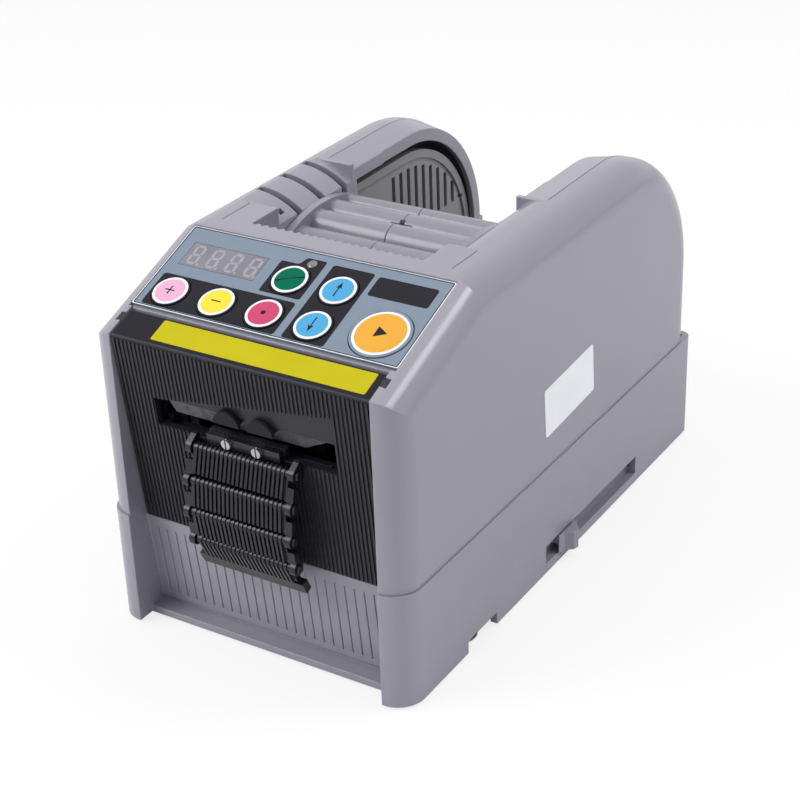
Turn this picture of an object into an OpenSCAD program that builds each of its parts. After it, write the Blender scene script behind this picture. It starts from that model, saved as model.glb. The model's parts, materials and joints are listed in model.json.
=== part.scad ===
// Electric tape dispenser: feeds, cuts and hands out strips of adhesive tape.
// Millimetres. X is the width, -Y the outlet side, +Z up, floor at Z = 0.
// Each sub-part is one module; "node" picks the one to draw.

/* [Overall] */
// Width over the base
body_w = 110; // [106:1:118]
// Length of the base
body_l = 200; // [196:1:212]
// Height of the seam between base and casing
seam_z = 38.8; // [37:0.2:41]
// Height of the tower tops above the base's lower edge
tower_h = 119.2; // [117:0.2:123]
// Wall of the mouldings
wall = 2.4; // [2:0.1:2.8]
// Height of the feet below the base's lower edge
foot_proud = 1; // [0.6:0.1:1.6]

/* [Casing] */
// Rounding of the long outer edges
edge_r = 10; // [8:0.5:11]
// Rounding of the base's front corners
front_r = 9; // [7:0.5:10]
// Radius of the rounding at the back of the towers
tower_r = 50; // [46:1:52]
// Clear width between the towers
bay_w = 62; // [60:1:63]
// Slope of the control deck in degrees
deck_a = 20.5; // [19:0.5:22]
// Width of a front column
col_w = 9.5; // [9:0.5:10.5]

/* [Front] */
// Forward lean of the front plate in degrees
lean = 6.5; // [5.5:0.5:7.5]
// Thickness of the front plate
plate_t = 2.2; // [2:0.1:2.4]
// Spacing of the fine ribs on the front plate
rib_pitch = 1.5; // [1.4:0.1:2]
// Spacing of the grooves in the apron
apron_pitch = 3.5; // [3:0.25:5]

/* [Panel] */
// Radius of a round key
key_r = 6.2; // [5.6:0.1:6.4]
// Radius of the start key
start_r = 9.4; // [8.8:0.1:9.6]
// Travel of a key
key_travel = 0.5; // [0.3:0.05:0.5]

/* [Tape guide] */
// Radius of a flute on the tape guide
flute_r = 5.2; // [4.8:0.1:5.4]
// Drop from the tower tops to the highest flute
guide_drop = 6.5; // [6:0.5:8]

/* [Chute] */
// Half width of the chute's links
chute_hw = 17; // [15:0.5:18]
// Spacing of the chute's hinges
link_pitch = 10.3; // [10:0.1:11]
// Radius of the chute's hinge pins
pin_r = 1.1; // [0.9:0.05:1.2]

/* [Feed] */
// Radius of the rubber feed rings
feed_r = 9; // [8.6:0.1:9.2]
// Radius of the pinch roller
pinch_r = 6; // [5.6:0.1:6.2]

/* [Cutter] */
// Stroke of the moving blade
cut_stroke = 7; // [6:0.5:7.5]
// Turn of the cam for one stroke in degrees
cam_sweep = 150; // [140:5:160]

/* [Fits] */
// Radial gap of a shaft in its bore
run_gap = 0.05; // [0.03:0.01:0.1]
// Gap between parts that lie beside each other
part_gap = 0.3; // [0.2:0.05:0.4]

/* [Hidden] */
$fn = 48;
yf = -body_l/2;
yr = body_l/2;
seam_step = 0.6;
case_hw = body_w/2 - seam_step;
case_yf = yf + seam_step;
case_yr = yr - 1;
front_hw = body_w/2 - col_w;
arc_y = case_yr - tower_r;
arc_z = tower_h - tower_r;
crest_y = yf + 47.5;
deck_back_y = yf + 55.5;
rear_r = 4;
floor_z = 3;
floor_t = 2.4;
floor_top = floor_z + floor_t;
bay_hw = bay_w/2;
bay_wall = bay_hw + wall;
bay_front_y = yf + 108;
bay_floor_z = seam_z + 3.2;
bay_rear_z = seam_z + 17;
shelf_z = tower_h - 26;
gray = [0.46, 0.46, 0.50];
black = [0.09, 0.09, 0.10];
steel = [0.70, 0.71, 0.73];

// Front plate frame: x across, y into the machine, z up along the lean
plate_y0 = yf + 8.6;
plate_z0 = seam_z - 3.5;
panel_y0 = yf + 13.4;
panel_sink = 0.5;
lip_sink = 0.6;
plate_l = (tower_h - (crest_y - plate_y0)*tan(deck_a) - lip_sink/cos(deck_a) - plate_z0)
    / (cos(lean) + sin(lean)*tan(deck_a));
plate_hw = front_hw - part_gap;
fold_y = plate_y0 - plate_l*sin(lean);
rib_h = 0.5;
groove_w = 0.5;
groove_d = 0.45;
slot_x0 = -33;
slot_x1 = 31.5;
slot_drop = 25.134;
slot_h = 6.2;
slot_dip = 3.6;
lug_hw = 13.5;
hood_sink = 0.7;
tab_l = 1.6;
tab_w = 3.1;
tab_v = -7.6;
slot_z0 = plate_l - slot_drop;
slot_z1 = slot_z0 + slot_h;

// Panel sizes, in the plane of the deck
overlay_hw = front_hw + 1.3;
overlay_l = 35.6;
overlay_t = 0.9;
skin_n = 3.6;
board_n = 8;
board_t = 1.6;
key_gap = 0.3;
lamp_r = 1.6;
lamp_h = 2.8;
key_x0 = 9.5 - overlay_hw;
start_x = overlay_hw - 11.5;
key_pitch = (start_x - key_x0)/4 - 1.1;
key_row_1 = 7.7;
key_row_2 = 22.6;
pos_plus = [key_x0, key_row_1];
pos_minus = [key_x0 + key_pitch, key_row_1];
pos_select = [key_x0 + 2*key_pitch, key_row_1];
pos_mode = [key_x0 + 2*key_pitch, key_row_2];
pos_up = [key_x0 + 3*key_pitch, key_row_2];
pos_down = [key_x0 + 3*key_pitch, key_row_1];
pos_start = [start_x, 10.6];
pos_lamp = [pos_mode[0] + 3.2, 30.4];
win_x0 = 4.6 - overlay_hw;
win = [win_x0, 18.9, pos_mode[0] - 11.3 - win_x0, 10.1];
KEYS = [pos_plus, pos_minus, pos_select, pos_mode, pos_up, pos_down];
BOARD_POSTS = [[3.2 - overlay_hw, 16], [pos_up[0] + 10.5, 31], [overlay_hw - 3.6, 30],
    [pos_mode[0] - 8.5, 31.3]];

// Tape guide
guide_y = yf + 87;
guide_top = tower_h - guide_drop;
shoulder_y0 = yf + 69;
shoulder_y1 = yf + 111;
groove_x = bay_hw + 10;
strip_end = groove_x + 0.25;
strip_drop = 2;
strip_back = 0.5;
strip_y = yf + 131;
// Crest and drop at the bay's edge of the round shoulders
crest_left = bay_hw + 16.5;
crest_right = groove_x - 0.4;
shoulder_drop = 5.6;
function round_r(w, h) = (w*w + h*h)/(2*h);
LOUVRES = [10, 23.2, 35.8];
louvre_w = 3.2;
louvre_short = 4;
scallops = floor((bay_hw - 1)/3);

// Chute hinges in the Y-Z plane, from the bracket down
chute_tilt = [15, 6, -8.5, -26.4];
hinge_in = [3.4, slot_z0 - 5.2];
function front_yz(y, z) = [plate_y0 + y*cos(lean) - z*sin(lean), plate_z0 + y*sin(lean) + z*cos(lean)];
function front_y_at(y, z) = plate_y0 + y*cos(lean) - (z - plate_z0 - y*sin(lean))*tan(lean);
hinge_1 = front_yz(-hinge_in[0], hinge_in[1]);
function hinge_next(h, t) = [h[0] - link_pitch*sin(t), h[1] - link_pitch*cos(t)];
hinge_2 = hinge_next(hinge_1, chute_tilt[0]);
hinge_3 = hinge_next(hinge_2, chute_tilt[1]);
hinge_4 = hinge_next(hinge_3, chute_tilt[2]);
HINGES = [hinge_1, hinge_2, hinge_3, hinge_4];
ear_t = 2;
ear_r = 2.3;
chute_front = hinge_3[0] - ear_r;
link_t = 2;
bracket_t = 1.9;
barrel_r = 1.5;
link_rib_h = 0.85;
link_rib_w = 0.8;
link_rib_pitch = 1.55;
finger_r = link_t/2 + link_rib_h;
lip_l = 5.2;
block_hw = 13;
ear_slope = 28;
chute_screw_x = 5.4;
chute_screw_z = hinge_in[1] + 3.8;

// Feed train; the gears keep one module and these tooth counts
feed_teeth = 30;
idler_teeth = 24;
pinion_teeth = 14;
gear_m = 0.8;
frame_x = body_w/2 - 17;
frame_t = 2;
frame_z = seam_z + 2.2;
frame_top = shelf_z - 1.2;
feed_y = yf + 28;
feed_z = plate_z0 + slot_z0 - 7;
shaft_r = 3;
ring_pitch = (frame_x - 12)/2;
pinch_hw = frame_x - 5;
nip = 0.3;
pinch_z = feed_z + feed_r + pinch_r + nip;
pinch_shaft_r = 2;
gear_x = frame_x + frame_t + 1;
gear_w = 5;
dist_idler = gear_m*(feed_teeth + idler_teeth)/2;
dist_pinion = gear_m*(idler_teeth + pinion_teeth)/2;
ang_idler = -28.5;
ang_pinion = -34.7;
idler_y = feed_y + dist_idler*cos(ang_idler);
idler_z = feed_z + dist_idler*sin(ang_idler);
pinion_y = idler_y + dist_pinion*cos(ang_pinion);
pinion_z = idler_z + dist_pinion*sin(ang_pinion);
idler_r = 2;
motor_r = 12;
motor_l = 24.5;
motor_shaft_r = 1.5;
FRAME_POSTS = [[frame_x + 6, yf + 34], [frame_x + 6, yf + 70.5]];

// Cutter, in the frame of the front plate
blade_t = 0.8;
blade_hw = frame_x - 11;
blade_z = slot_z0 + 1.1;
pad_x = 6;
pad_z = slot_z0 + 3.7;
pad_r = 4.6;
shear_gap = 0.1;
fixed_y = plate_t;
moving_y = fixed_y + blade_t + shear_gap;
carriage_y = moving_y + blade_t;
carriage_t = 2.5;
carriage_hw = frame_x - 8;
carriage_h = 24;
rail_z0 = max(0.5, slot_z0 - 35.2);
rail_h = slot_z0 - 2.2 - rail_z0;
cam_y = carriage_y + carriage_t + 0.8;
cam_t = 4;
cam_z = slot_z0 - 32.7;
carriage_z = cam_z + 3.5;
cam_r0 = 8;
follower_r = 2;
follower_gap = 0.5;
cutter_plate_y = cam_y + cam_t + 0.4;
cutter_plate_t = 1.4;
cutter_plate_top = cam_z + 11.5;
cutter_motor_l = 26;

// Base details
slider_y = yf + 100.5;
knob_out = 4;
win_y0 = yf + 86.2;
win_y1 = yf + 154;
win_z0 = floor_z + 0.2;
knob_z = floor_z;
win_z1 = 10.2;
foot_r = 6;
foot_x = body_w/2 - wall - foot_r - 0.6;
FEET = [[-foot_x, yf + 44], [foot_x, yf + 44], [-foot_x, yr - 30], [foot_x, yr - 30]];
boss_r = 4;
boss_x = body_w/2 - 8.5;
boss_h = 7;
BOSSES = [[-boss_x, yf + 19], [boss_x, yf + 19], [-boss_x, yr - 14], [boss_x, yr - 14]];
shoe_x = body_w/2 - 12;
screw_r = 1.5;
inlet_x = 30;
inlet_z = 20;
ROLLERS = [bay_front_y + 18, yr - 26];
bay_roller_r = 6;
bay_roller_z = bay_floor_z + 10;

function deck_z(y) = tower_h - (crest_y - y)*tan(deck_a);

// Puts the middle of the whole part's outline over the origin, feet on the floor
module lifted() {
    translate([-knob_out/2, -(yr + chute_front)/2, foot_proud]) children();
}

module on_front() {
    translate([0, plate_y0, plate_z0]) rotate([lean, 0, 0]) children();
}

module on_deck() {
    translate([0, panel_y0, deck_z(panel_y0)]) rotate([deck_a, 0, 0]) children();
}

module both() {
    children();
    mirror([1, 0, 0]) children();
}

// Cylinder along +X starting at x
module rod_x(r, x, l, y, z) {
    translate([x, y, z]) rotate([0, 90, 0]) cylinder(r = r, h = l);
}

// Cylinder along +Y starting at y
module rod_y(r, x, y, z, l) {
    translate([x, y, z]) rotate([-90, 0, 0]) cylinder(r = r, h = l);
}

// What lies outside a quarter round at an upright corner
module corner_waste(x, y, sx, sy, r, z0, z1) {
    translate([x - sx*r, y - sy*r, z0 - 1]) difference() {
        translate([sx > 0 ? 0 : -r - 1, sy > 0 ? 0 : -r - 1, 0])
            cube([r + 1, r + 1, z1 - z0 + 2]);
        translate([0, 0, -1]) cylinder(r = r, h = z1 - z0 + 4);
    }
}

module base_block(d, z0, z1) {
    difference() {
        translate([-body_w/2 + d, yf + d, z0]) cube([body_w - 2*d, body_l - 2*d, z1 - z0]);
        for (s = [-1, 1]) {
            corner_waste(s*(body_w/2 - d), yf + d, s, -1, front_r - d, z0, z1);
            corner_waste(s*(body_w/2 - d), yr - d, s, 1, rear_r - d, z0, z1);
        }
    }
}

// Fine ribs side by side, as one comb across X
module comb(hw, pitch, w, h, l) {
    n = floor((2*hw - w)/pitch);
    x0 = -n*pitch/2;
    linear_extrude(height = l) polygon(concat(
        [[hw, 0.4], [-hw, 0.4], [-hw, 0]],
        [for (i = [0:n]) for (k = [0:3])
            [x0 + i*pitch + (k < 2 ? -w/2 : w/2), k == 1 || k == 2 ? -h : 0]],
        [[hw, 0]]));
}

module apron() {
    n = floor((front_hw - 2)/apron_pitch);
    on_front() difference() {
        translate([-front_hw - 0.5, 0, -33.4]) cube([2*front_hw + 1, plate_t, 33.4]);
        for (i = [-n:n]) translate([i*apron_pitch - groove_w/2, -1, -32.2])
            cube([groove_w, 1 + groove_d, 28.2]);
    }
}

module base_tray() color(gray) lifted() difference() {
    union() {
        difference() {
            base_block(0, 0, seam_z);
            base_block(wall, floor_top, seam_z + 1);
            base_block(wall, -1, floor_z);
            translate([-front_hw, yf - 1, -1]) cube([2*front_hw, 13, seam_z + 2]);
        }
        intersection() {
            both() translate([front_hw, yf, 0]) cube([wall, 17, seam_z]);
            base_block(0, 0, seam_z);
        }
        apron();
        translate([-front_hw - 0.5, yf + 6, 0]) cube([2*front_hw + 1, 9, 2.4]);
        for (p = BOSSES) translate([p[0], p[1], 0]) cylinder(r = boss_r, h = seam_z);
        both() for (p = FRAME_POSTS) translate([p[0], p[1], floor_z])
            cylinder(r = 3.5, h = frame_z - floor_z);
        translate([shoe_x - 1.8, slider_y - 28, floor_z]) cube([1.5, 94, 6]);
    }
    for (p = BOSSES) translate([p[0], p[1], -1]) {
        cylinder(r = 3.2, h = 9);
        cylinder(r = screw_r + 0.3, h = seam_z + 2);
    }
    both() for (p = FRAME_POSTS) translate([p[0], p[1], frame_z - 12])
        cylinder(r = 1.3, h = 13);
    for (p = FEET) translate([p[0], p[1], floor_z - 1]) cylinder(r = 2.3, h = floor_t + 2);
    both() translate([body_w/2 - wall - 1, yf + 35.2, -1]) cube([wall + 2, 18.1, 5.4]);
    translate([body_w/2 - wall - 1, win_y0, win_z0]) cube([wall + 2, win_y1 - win_y0, win_z1 - win_z0]);
    rod_y(5.6, inlet_x, yr - wall - 1, inlet_z, wall + 2);
}

// Side view of the casing, inset by d: polygon plus the round at the back
module side_profile(d) {
    a = case_yf + d;
    front_z = deck_z(a) - d/cos(deck_a);
    crest = crest_y + d*(1/cos(deck_a) - 1)/tan(deck_a);
    polygon([[a, seam_z - 5], [a, front_z], [crest, tower_h - d], [arc_y, tower_h - d],
        [arc_y, arc_z], [case_yr - d, arc_z], [case_yr - d, seam_z - 5]]);
    translate([arc_y, arc_z]) intersection() {
        circle(r = tower_r - d);
        square(tower_r);
    }
}

// What lies outside a rounded edge that runs along the side profile from p to q
module edge_waste(p, q, hw, r) {
    len = norm(q - p);
    translate([0, p[0], p[1]]) rotate([atan2(q[1] - p[1], q[0] - p[0]), 0, 0])
        both() translate([hw - r, -2, -r]) difference() {
            cube([r + 2, len + 4, r + 2]);
            translate([0, -1, 0]) rotate([-90, 0, 0]) cylinder(r = r, h = len + 6);
        }
}

module casing_block(d) {
    hw = case_hw - d;
    r = edge_r - d;
    a = case_yf + d;
    front_z = deck_z(a) - d/cos(deck_a);
    crest = crest_y + d*(1/cos(deck_a) - 1)/tan(deck_a);
    difference() {
        translate([-hw, 0, 0]) rotate([90, 0, 90]) linear_extrude(height = 2*hw) side_profile(d);
        edge_waste([a, seam_z - 6], [a, front_z], hw, front_r - d);
        edge_waste([a, front_z], [crest, tower_h - d], hw, r);
        edge_waste([crest, tower_h - d], [arc_y, tower_h - d], hw, r);
        both() translate([0, arc_y, arc_z]) rotate([90, 0, 90]) rotate_extrude(angle = 90)
            difference() {
                translate([tower_r - d - r, hw - r]) square(r + 2);
                translate([tower_r - d - r, hw - r]) circle(r = r);
            }
        edge_waste([case_yr - d, arc_z], [case_yr - d, seam_z - 6], hw, r);
    }
}

// Opening in a tower's inner wall, or the outline of its side plate
module arch(y0, z0, top, r, rear) {
    polygon([[y0, z0], [y0, top], [arc_y, top], [arc_y, top - r], [rear, top - r], [rear, z0]]);
    translate([arc_y, top - r]) intersection() {
        circle(r = r);
        square(r);
    }
}

// Round inner shoulder of a right tower with its crest at x: the rod that shapes it
module shoulder_rod(x, d) {
    r = round_r(x - bay_hw, shoulder_drop);
    rod_y(r - d, x, shoulder_y0 - 1, tower_h - r, shoulder_y1 - shoulder_y0 + 2);
}

module shoulder_zone(x, edge) {
    translate([bay_hw - edge, shoulder_y0, tower_h - 14])
        cube([x - bay_hw + edge, shoulder_y1 - shoulder_y0, 20]);
}

// What is cut away above the shoulder
module shoulder_cut(x) difference() {
    shoulder_zone(x, 1);
    shoulder_rod(x, 0);
}

module shoulder_skin(x) {
    intersection() {
        difference() {
            shoulder_rod(x, 0);
            shoulder_rod(x, wall);
        }
        shoulder_zone(x, 0);
    }
    for (y = [shoulder_y0 - 1.6, shoulder_y1]) translate([bay_hw, y, tower_h - 14])
        cube([x - bay_hw, 1.6, 14]);
}

module louvres(l) {
    for (y = LOUVRES) translate([bay_hw - 1, shoulder_y0 + y, tower_h - 11]) cube([l + 1, louvre_w, 14]);
}

// What is cut off the top of the strip beside the bay, so that it slopes to the bay
module strip_waste() {
    slope = [[-strip_drop - 0.2, bay_hw - 1], [0, strip_end], [2, strip_end], [2, bay_hw - 1]];
    translate([0, shoulder_y1 + 1.6, tower_h]) rotate([-90, 0, 0])
        linear_extrude(height = arc_y - shoulder_y1 - 1.6)
            polygon([for (p = slope) [p[1], -p[0]]]);
    translate([0, arc_y, arc_z]) rotate([90, 0, 90]) rotate_extrude(angle = 90)
        polygon([for (p = slope) [tower_r + p[0], p[1]]]);
}

module tower_inner() {
    intersection() {
        casing_block(0);
        union() {
            both() translate([bay_hw, deck_back_y, shelf_z])
                cube([wall, bay_front_y - deck_back_y + 1, tower_h]);
            both() translate([bay_hw, bay_front_y, bay_floor_z]) cube([wall, body_l, tower_h]);
            translate([-bay_wall, bay_front_y, bay_floor_z]) cube([2*bay_wall, body_l, wall]);
            translate([-bay_wall, bay_front_y, bay_floor_z])
                cube([2*bay_wall, wall, shelf_z - bay_floor_z]);
            translate([-bay_wall, guide_y - 16, shelf_z])
                cube([2*bay_wall, bay_front_y + wall - guide_y + 16, wall]);
            shoulder_skin(crest_right);
            mirror([1, 0, 0]) shoulder_skin(crest_left);
            both() translate([front_hw, case_yf, seam_z]) cube([wall, 14, tower_h]);
        }
    }
}

module upper_casing() color(gray) lifted() difference() {
    union() {
        difference() {
            casing_block(0);
            casing_block(wall);
            translate([-bay_hw, deck_back_y, shelf_z]) cube([bay_w, body_l, tower_h]);
            translate([-bay_hw, bay_front_y, bay_rear_z]) cube([bay_w, body_l, tower_h]);
            shoulder_cut(crest_right);
            mirror([1, 0, 0]) shoulder_cut(crest_left);
        }
        difference() {
            tower_inner();
            shoulder_cut(crest_right);
            mirror([1, 0, 0]) shoulder_cut(crest_left);
        }
        intersection() {
            casing_block(0);
            on_deck() translate([-overlay_hw - 1, -1.5, -skin_n])
                cube([2*overlay_hw + 2, overlay_l + 2.5, skin_n]);
        }
        on_deck() for (p = BOARD_POSTS) translate([p[0], p[1], -board_n])
            cylinder(r = 2.2, h = board_n - 2);
        for (p = BOSSES) {
            translate([p[0], p[1], seam_z]) cylinder(r = boss_r, h = boss_h);
            translate([p[0] > 0 ? p[0] : -case_hw + 1, p[1] - 1, seam_z])
                cube([case_hw - 1 - abs(p[0]), 2, boss_h]);
        }
    }
    translate([-body_w, yf - 10, seam_z - 20]) cube([2*body_w, body_l + 20, 20]);
    translate([-front_hw, yf - 1, 0]) cube([2*front_hw, 13.2, 2*tower_h]);
    on_deck() {
        translate([-overlay_hw - 0.1, -1.4, -panel_sink - overlay_t])
            cube([2*overlay_hw + 0.2, overlay_l + 1.5, 5]);
        for (p = KEYS) translate([p[0], p[1], -6]) cylinder(r = key_r + key_gap, h = 8);
        translate([pos_start[0], pos_start[1], -6]) cylinder(r = start_r + key_gap, h = 8);
        translate([pos_lamp[0], pos_lamp[1], -6]) cylinder(r = 1.9, h = 8);
        translate([win[0] + 1, win[1] + 1, -6]) cube([win[2] - 2, win[3] - 2, 8]);
    }
    for (p = BOSSES) translate([p[0], p[1], seam_z - 1]) cylinder(r = screw_r + run_gap, h = boss_h);
    for (i = [-scallops:scallops]) translate([i*3, deck_back_y, shelf_z + 10]) cylinder(r = 0.9, h = 30);
    louvres(louvre_short);
    mirror([1, 0, 0]) louvres(crest_left - bay_hw - 0.5);
    both() {
        strip_waste();
        on_deck() translate([front_hw - 1, tab_v - 0.25, -lip_sink - 2.2])
            cube([tab_l + 1.25, tab_w + 0.5, 5]);
        translate([bay_hw - 1, strip_y, bay_floor_z + 20]) cube([1 + strip_back, body_l, tower_h]);
        translate([bay_hw + 2, shoulder_y0 + 3.8, tower_h - 12]) cube([2, 2.6, 12]);
        translate([bay_hw - 1, 0, 0]) rotate([90, 0, 90]) linear_extrude(height = wall + 2)
            arch(bay_front_y + 6, bay_floor_z + 20, tower_h - 6.2, tower_r - 6.2, case_yr - 6.2);
        for (y = ROLLERS) rod_x(2 + run_gap, bay_hw - 1, wall + 2, y, bay_roller_z);
        translate([groove_x, shoulder_y1 + 2, tower_h - 0.4]) cube([0.5, arc_y - shoulder_y1 - 2, 1]);
        translate([groove_x, crest_y + 6, tower_h - 0.4]) cube([0.5, shoulder_y0 - crest_y - 6.8, 1]);
        translate([groove_x, arc_y, arc_z]) rotate([90, 0, 90]) rotate_extrude(angle = 90)
            translate([tower_r - 0.4, 0]) square([1, 0.5]);
    }
}

module front_plate() color(black) lifted() {
    on_front() difference() {
        union() {
            translate([-plate_hw, 0, 0]) cube([2*plate_hw, plate_t, plate_l]);
            translate([0, 0, 0.4]) comb(plate_hw - 0.4, rib_pitch, 0.75, rib_h, plate_l - 1.4);
            both() {
                translate([carriage_hw + 0.4, plate_t - 0.2, rail_z0])
                    cube([2, carriage_t + 3.2, rail_h]);
                translate([carriage_hw - 2.6, carriage_y + carriage_t + part_gap, rail_z0])
                    cube([5, 1.4, rail_h]);
            }
        }
        translate([slot_x0, -2, slot_z0]) cube([slot_x1 - slot_x0, plate_t + 4, slot_z1 - slot_z0]);
        translate([slot_x0, -2, slot_z0 - slot_dip])
            cube([-lug_hw - slot_x0, plate_t + 4, slot_dip + 1]);
        translate([lug_hw, -2, slot_z0 - slot_dip]) cube([slot_x1 - lug_hw, plate_t + 4, slot_dip + 1]);
        translate([0, hood_sink, 0]) rotate([90, 0, 0]) linear_extrude(height = hood_sink + 3)
            polygon([[slot_x0 + 2, slot_z1 - 0.1], [slot_x1 + 0.9, slot_z1 + 9.8],
                [slot_x1, slot_z1 - 0.1]]);
        for (s = [-1, 1]) rod_y(screw_r - 0.3 + run_gap, s*chute_screw_x, -2, chute_screw_z, 6);
    }
    intersection() {
        on_deck() translate([-plate_hw, (fold_y - panel_y0)/cos(deck_a), -lip_sink - 2])
            cube([2*plate_hw, (panel_y0 - 2.6 - fold_y)/cos(deck_a), 2]);
        translate([-body_w, fold_y, 0]) cube([2*body_w, 50, 2*tower_h]);
    }
    on_deck() both() translate([plate_hw - 0.5, tab_v, -lip_sink - 2])
        cube([front_hw + tab_l - plate_hw + 0.5, tab_w, 2]);
}

module panel_overlay() color([0.50, 0.60, 0.68]) lifted() on_deck() difference() {
    translate([-overlay_hw, 0, -panel_sink - overlay_t]) cube([2*overlay_hw, overlay_l, overlay_t]);
    for (p = KEYS) translate([p[0], p[1], -6]) cylinder(r = key_r + key_gap, h = 8);
    translate([pos_start[0], pos_start[1], -6]) cylinder(r = start_r + key_gap, h = 8);
    translate([pos_lamp[0], pos_lamp[1], -6]) cylinder(r = 1.9, h = 8);
    translate([win[0], win[1], -6]) cube([win[2], win[3], 8]);
}

module display_window() color([0.25, 0.20, 0.20]) lifted() on_deck()
    translate([win[0] + 0.15, win[1] + 0.15, -panel_sink - overlay_t])
        cube([win[2] - 0.3, win[3] - 0.3, overlay_t]);

module display_module() color([0.75, 0.75, 0.72]) lifted() on_deck()
    translate([win[0] + 1.3, win[1] + 1.3, -board_n])
        cube([win[2] - 2.6, win[3] - 2.6, board_n - panel_sink - overlay_t - part_gap]);

// Lamp: head in its hole, thin leads down to the board
module status_lamp() color([0.55, 0.55, 0.57]) lifted() on_deck() {
    translate([pos_lamp[0], pos_lamp[1], -lamp_h]) cylinder(r = lamp_r, h = lamp_h - 0.3);
    translate([pos_lamp[0], pos_lamp[1], -board_n]) cylinder(r = lamp_r/2, h = board_n - lamp_h + 0.2);
}

// A key: cap in its hole, flange under the deck, stem above its switch
module key(p, r) {
    on_deck() translate([p[0], p[1], 0]) {
        translate([0, 0, -skin_n - part_gap]) cylinder(r = r, h = skin_n + part_gap - 0.2);
        translate([0, 0, -skin_n - part_gap - 0.7]) cylinder(r = r + 0.9, h = 0.7);
        translate([0, 0, -6.1]) cylinder(r = 2, h = 2);
    }
}

module key_plus() color([0.90, 0.55, 0.68]) lifted() key(pos_plus, key_r);
module key_minus() color([0.95, 0.82, 0.15]) lifted() key(pos_minus, key_r);
module key_select() color([0.78, 0.18, 0.35]) lifted() key(pos_select, key_r);
module key_mode() color([0.05, 0.40, 0.28]) lifted() key(pos_mode, key_r);
module key_up() color([0.25, 0.68, 0.90]) lifted() key(pos_up, key_r);
module key_down() color([0.25, 0.68, 0.90]) lifted() key(pos_down, key_r);
module key_start() color([0.96, 0.62, 0.10]) lifted() key(pos_start, start_r);

module control_board() color([0.10, 0.35, 0.20]) lifted() on_deck() {
    translate([-front_hw + 0.5, 1, -board_n - board_t]) cube([2*front_hw - 1, overlay_l - 2, board_t]);
    for (p = concat(KEYS, [pos_start])) translate([p[0], p[1], -board_n - 0.2])
        cylinder(r = 2.5, h = board_n - 6.1 - key_travel - 0.1 + 0.2);
}

// One half of the fluted guide, on the right
module guide_half() {
    x0 = 0.15;
    x1 = bay_hw - part_gap;
    z0 = shelf_z + wall;
    difference() {
        union() {
            translate([x0, guide_y - 14, z0]) cube([x1 - x0, 20.5, guide_top - flute_r - z0]);
            rod_x(flute_r + 0.2, x0, x1 - x0, guide_y - 10.2, guide_top - flute_r - 2.4);
            rod_x(flute_r, x0, x1 - x0, guide_y - 0.3, guide_top - flute_r);
            rod_x(flute_r, x0, x1 - x0, guide_y + 9, guide_top - flute_r);
            rod_x(3.4, x0, x1 - x0, guide_y + 18, guide_top - 4.6);
            translate([x0, guide_y + 6, z0]) cube([x1 - x0, 13, guide_top - flute_r - 1 - z0]);
            intersection() {
                rod_x(50, x1 - 2.6, 2.6, guide_y + 3, guide_top - 48.6);
                translate([0, guide_y - 15.6, z0]) cube([50, 36, 40]);
            }
        }
        translate([-1, guide_y - 12, z0 - 1]) cube([x1 - wall + 1, 29, guide_top - 2*flute_r - z0 - 1]);
        translate([-4, guide_y + 3.6, guide_top - 7]) cube([8, 1.6, 9]);
        translate([-1, guide_y + 2.4, guide_top - 7]) cube([2, 4, 9]);
    }
}

module guide_left() color([0.52, 0.52, 0.55]) lifted() mirror([1, 0, 0]) guide_half();
module guide_right() color([0.52, 0.52, 0.55]) lifted() guide_half();

// Ribbed side plate of the roll bay, on the right
module side_plate() {
    x0 = bay_wall + part_gap;
    top = tower_h - 9.8;
    r = tower_r - 6;
    rear = arc_y + r;
    y0 = bay_front_y + 7.5;
    rib_y0 = bay_front_y + 33;
    rib_step = 5;
    difference() {
        union() {
            translate([x0, 0, 0]) rotate([90, 0, 90]) linear_extrude(height = 2.4)
                arch(y0, bay_floor_z + 14, top, r, rear);
            for (y = [bay_front_y + 22, yr - 24])
                rod_x(3, x0 + 2, case_hw - wall - x0 - 2, y, bay_floor_z + 34);
        }
        translate([x0 - 1, 0, 0]) rotate([90, 0, 90]) linear_extrude(height = 1.8)
            arch(y0 + 3, bay_floor_z + 17, top - 3, r - 3, rear - 3);
        for (i = [0:floor((rear - 7 - rib_y0)/rib_step + 0.001)]) {
            y = rib_y0 + i*rib_step;
            dy = max(0, y + 1 - arc_y);
            zt = top - r + sqrt(r*r - dy*dy) - 6;
            translate([x0 - 1, y, bay_floor_z + 38]) cube([6, 2.1, zt - bay_floor_z - 38]);
        }
    }
}

module side_plate_left() color([0.36, 0.36, 0.39]) lifted() mirror([1, 0, 0]) side_plate();
module side_plate_right() color([0.36, 0.36, 0.39]) lifted() side_plate();

// Ear of the bracket in the Y-Z plane about the hinge, with a slanting top
module ear_outline() {
    back = hinge_in[0] - rib_h;
    top = ear_r/cos(ear_slope) + (back - 1.3)*tan(ear_slope);
    circle(r = ear_r);
    polygon([[back, -ear_r], [back, top], [back - 1.3, top],
        [-ear_r*sin(ear_slope), ear_r*cos(ear_slope)], [0, 0], [0, -ear_r]]);
}

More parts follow.
